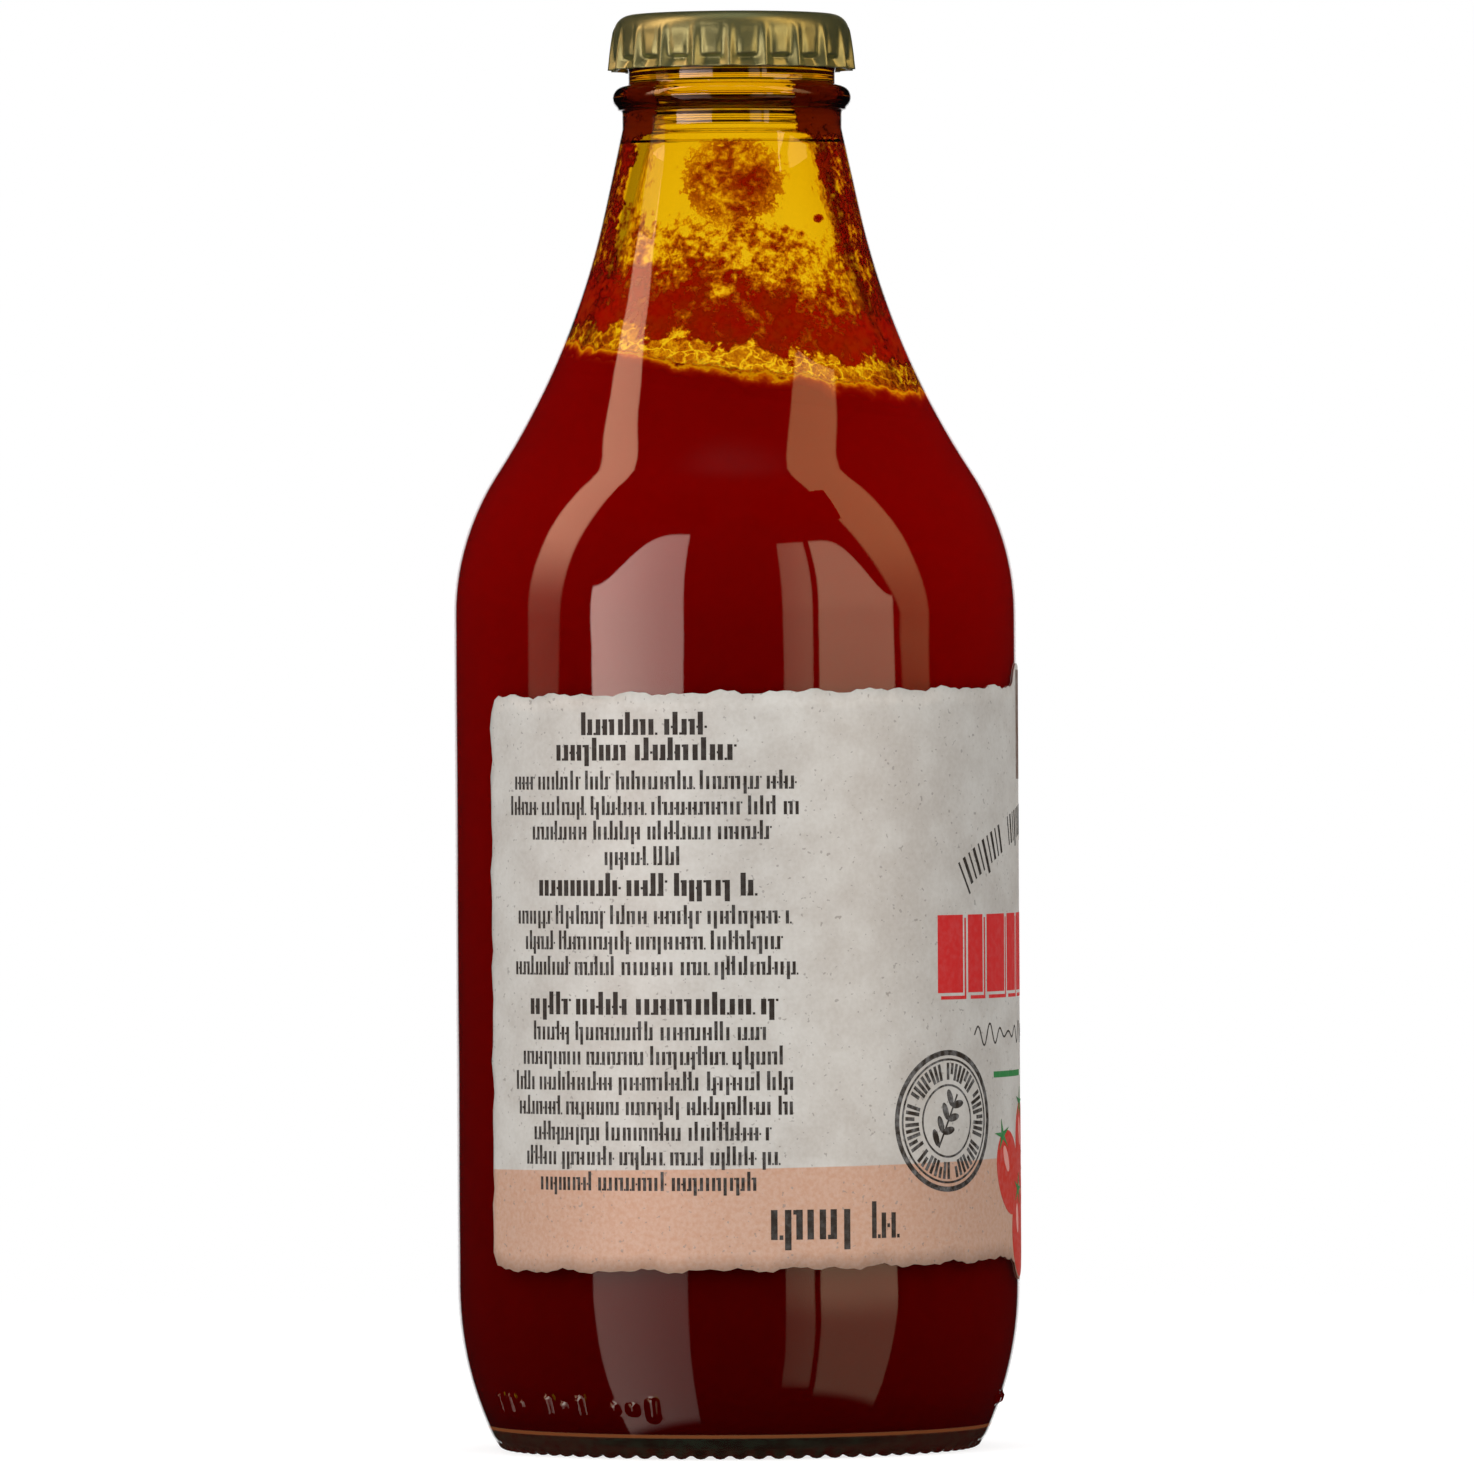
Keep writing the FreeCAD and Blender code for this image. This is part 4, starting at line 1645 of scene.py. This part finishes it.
@dataclass(frozen=True)
class Flag:
    """Curved black strip that only gloss sees, in degrees and millimetres."""

    radius: float
    start: float
    end: float
    low: float
    low_end: float
    top: float
    clear: float = 0.0

    def mesh(self) -> bmesh.types.BMesh:
        """Model the strip, whose foot runs from one height to another.

        Returns:
            The mesh.
        """
        bm = bmesh.new()
        start, end = math.radians(self.start), math.radians(self.end)
        verts = [bm.verts.new(side_point(self.radius * MM, start, z * MM)) for z in (self.low, self.top)]
        bmesh.ops.spin(bm, geom=verts + [bm.edges.new(verts)], axis=(0, 0, 1), cent=(0, 0, 0), steps=24,
                       angle=end - start)
        for vert in bm.verts:
            if vert.co.z < self.top * MM - 1e-6:
                share = (math.atan2(vert.co.x, -vert.co.y) - start) / (end - start)
                vert.co.z += (self.low_end - self.low) * MM * share
        return bm


@dataclass(frozen=True)
class Lamp:
    """Soft lamp that lights the paper and the floor, by its direction and size."""

    name: str
    turn: float
    rise: float
    width: float
    height: float
    glow: float
    distance: float = 1.0

    def place(self, target: Vector) -> None:
        """Hang the lamp so that it faces the target.

        Args:
            target: what it lights.
        """
        light = bpy.data.lights.new(self.name, "AREA")
        light.shape = "RECTANGLE"
        light.size, light.size_y = self.width, self.height
        light.energy = self.glow * math.pi * self.width * self.height
        rise = math.radians(self.rise)
        spot = side_point(self.distance * math.cos(rise), math.radians(self.turn), self.distance * math.sin(rise))
        lamp = bpy.data.objects.new(self.name, light)
        lamp.matrix_world = Matrix.Translation(target + spot) @ (-spot).to_track_quat("-Z", "Y").to_matrix().to_4x4()
        lamp.visible_glossy = lamp.visible_transmission = False
        bpy.context.scene.collection.objects.link(lamp)


def stage_mesh(name: str, bm: bmesh.types.BMesh, material: bpy.types.Material, hidden: str) -> None:
    """Add a piece of the set, which isn't part of the object.

    Args:
        name: the piece's name.
        bm: its mesh, which is freed.
        material: its finish.
        hidden: kinds of ray that pass it by.
    """
    mesh = bpy.data.meshes.new(name)
    bm.to_mesh(mesh)
    bm.free()
    mesh.materials.append(material)
    piece = bpy.data.objects.new(name, mesh)
    for ray in hidden.split():
        setattr(piece, f"visible_{ray}", False)
    bpy.context.scene.collection.objects.link(piece)
    LOG.info("%s: on the stage", name)


@dataclass
class Studio:
    """Camera, lamps, white backdrop and pale floor."""

    distance: float = 1.7
    eye: float = 87.7 * MM
    aim: float = 82.2 * MM
    aside: float = 0.16 * MM
    view_width: float = 170.5 * MM
    film_width: float = 36.0
    roll: float = -0.34
    floor_size: float = 4.0
    floor_fade: Pair = (0.1, 0.45)
    floor_colour: Colour = (0.5, 0.5, 0.5)
    floor_glow: float = 0.74
    backdrop_half: float = 40.0
    rim_half: float = 15.0
    around: float = 0.5
    fill: float = 0.35
    dark_gloss: float = 0.006
    ceiling_gloss: float = 0.4
    passed_tint: Colour = (1.16, 0.98, 0.85)
    lamps_at: tuple[Lamp, ...] = (
        Lamp("lamp_left", -42, 12, 0.6, 1.0, 3.3),
        Lamp("lamp_right", 46, 12, 0.6, 1.0, 2.1),
        Lamp("lamp_top", 10, 72, 0.8, 0.8, 0.9),
        Lamp("lamp_back_left", -150, 12, 0.8, 1.0, 1.5),
        Lamp("lamp_back_right", 150, 12, 0.8, 1.0, 1.5))
    flags_at: tuple[Flag, ...] = (
        Flag(110, -62, -8, 172, 172, 216), Flag(110, 8, 46.5, 172, 172, 216),
        Flag(42, -88, -63, 152, 153, 160.5, 0.3), Flag(42, 34, 78, 149.5, 142, 160.5))
    panels: tuple[Panel, ...] = (
        Panel(-61, -21, -43, 34.7, 5.4, 3.1, 0.22, fade=(-2.2, -0.4), corner=24),
        Panel(19.5, 31.8, -31, 30.5, 1.2, 1.6, 0.3, tint=(1.45, 0.98, 0.62)),
        Panel(34.4, 68, -33, 30.5, 2.4, 2.3, 0.26, tint=(1.45, 0.98, 0.62), corner=24),
        Panel(-94, -77, 0, 64, 3.3, 3.3, 0.18, 1.0, (2, 30), tint=(1.7, 0.98, 0.62), lean=(0.0, 0.09)),
        Panel(72, 87, 0, 64, 1.5, 1.5, 0.45, 1.0, (0, 32), tint=(1.85, 1.05, 0.45), lean=(-0.5, -0.2)))

    def camera(self) -> None:
        """Set up a long lens at the height of the bottle's middle."""
        lens = bpy.data.cameras.new("camera")
        lens.sensor_width = self.film_width
        lens.lens = self.film_width * self.distance / self.view_width
        lens.clip_start, lens.clip_end = 0.1, 20
        spot = Vector((self.aside, -self.distance, self.eye))
        look = Vector((self.aside, 0, self.aim)) - spot
        turn = look.to_track_quat("-Z", "Y").to_matrix().to_4x4() @ Matrix.Rotation(math.radians(self.roll), 4, "Z")
        camera = bpy.data.objects.new("camera", lens)
        camera.matrix_world = Matrix.Translation(spot) @ turn
        bpy.context.scene.collection.objects.link(camera)
        bpy.context.scene.camera = camera

    def floor(self) -> None:
        """Lay a pale floor that fades into the backdrop."""
        bm = bmesh.new()
        bmesh.ops.create_grid(bm, x_segments=1, y_segments=1, size=self.floor_size / 2)
        material, nodes, place = new_material("floor_white")
        reach = nodes.out("VectorMath", {0: place}, "Value", operation="LENGTH")
        white = nodes.out("BsdfDiffuse", {"Color": self.floor_colour})
        lit = nodes.out("Emission", {"Color": WHITE, "Strength": self.floor_glow})
        both = nodes.out("AddShader", {0: white, 1: lit})
        nodes.surface(nodes.over(nodes.span(reach, *self.floor_fade), both, nodes.out("BsdfTransparent")))
        stage_mesh("floor", bm, material, "glossy transmission diffuse shadow")

    def flags(self) -> None:
        """Hang narrow black flags, which keep the panels' gloss off the neck."""
        for i, flag in enumerate(self.flags_at):
            material, nodes, _ = new_material(f"flag_black_{i}")
            black = nodes.out("BsdfDiffuse", {"Color": (0.0, 0.0, 0.0)})
            nodes.surface(nodes.over(flag.clear, black, nodes.out("BsdfTransparent")))
            stage_mesh(f"flag_{i}", flag.mesh(), material, "camera diffuse transmission shadow")

    def world(self) -> None:
        """White backdrop, white panels for gloss, and a soft even fill."""
        world = bpy.data.worlds.new("studio")
        bpy.context.scene.world = world
        world.use_nodes = True
        nodes = Nodes(world.node_tree)
        path = nodes.add("LightPath").outputs
        camera, glossy, diffuse, passing, depth = (Signal(nodes, path[name]) for name in (
            "Is Camera Ray", "Is Glossy Ray", "Is Diffuse Ray", "Is Transmission Ray", "Diffuse Depth"))
        x, y, z = nodes.axes(nodes.out("TexCoord", output="Generated"))
        turn = nodes.turn(x, y) * math.degrees(1)
        rise = nodes.math("ARCSINE", z) * math.degrees(1)

        rim = math.cos(math.radians(self.rim_half))
        gloss = nodes.span(y, rim - 0.01, rim + 0.01) + self.dark_gloss
        gloss = gloss + nodes.span(rise, 60, 80, 0.0, self.ceiling_gloss)
        for panel in self.panels:
            gloss = nodes.vector("ADD", gloss, panel.shade(nodes, turn, rise))

        edge = math.cos(math.radians(self.backdrop_half))
        through = nodes.span(y, edge - 0.03, edge + 0.03) * (1.0 - self.around) + self.around
        onto_sauce = nodes.span(rise, -45, 35, 0.4, 1.65) * nodes.span(abs(turn), 30, 85, 0.85, 1.9)
        seen = nodes.between(nodes.math("GREATER_THAN", depth, 0.5), through, onto_sauce) * passing
        colour = nodes.mix(glossy, nodes.most(camera, seen + diffuse * self.fill), gloss)
        colour = nodes.mix(passing, colour, nodes.vector("SCALE", self.passed_tint, seen))
        sky = nodes.out("Background", {"Color": colour, "Strength": 1.0})
        nodes.add("OutputWorld", {"Surface": sky})

    def build(self) -> None:
        """Set up the whole studio."""
        self.camera()
        for lamp in self.lamps_at:
            lamp.place(Vector((0, 0, self.eye)))
        self.floor()
        self.flags()
        self.world()
        bpy.context.scene.view_settings.view_transform = "Standard"


def main() -> None:
    """Build the bottle's pieces in order, then the studio."""
    logging.basicConfig(level=logging.INFO, format="%(message)s")
    low, high = (Vector(corner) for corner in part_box("bottle"))
    bottle = GlassBottle(body_radius=(high.y - low.y) / 2, lip=high.z)
    level = bottle.wall_top + SAUCE_ABOVE_WALL
    bottle.dress(AmberGlass())
    SauceFill(bottle, level, SAUCE_TILT).dress(TomatoSauce(level, math.tan(SAUCE_TILT)))
    NeckFilm(bottle, level, SAUCE_TILT).dress(SauceFilm(level, math.tan(SAUCE_TILT)))
    low, high = (Vector(corner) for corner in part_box("crown_cap"))
    lock_foot = bottle.lip - bottle.lip_height - bottle.lock_height
    CrownCap(top=high.z, rim=low.z, lock=bottle.lock, lock_foot=lock_foot).dress(GoldLacquer())
    label = Label(bottle.body_radius, bottle.heel_top + LABEL_ABOVE_HEEL, bottle.wall_top - LABEL_BELOW_SHOULDER)
    label.dress(LabelPaper(BAND_TOP, label.rise * label.outer / label.length))
    LabelPrint(label).dress()
    Studio().build()


if __name__ == "__main__":
    main()
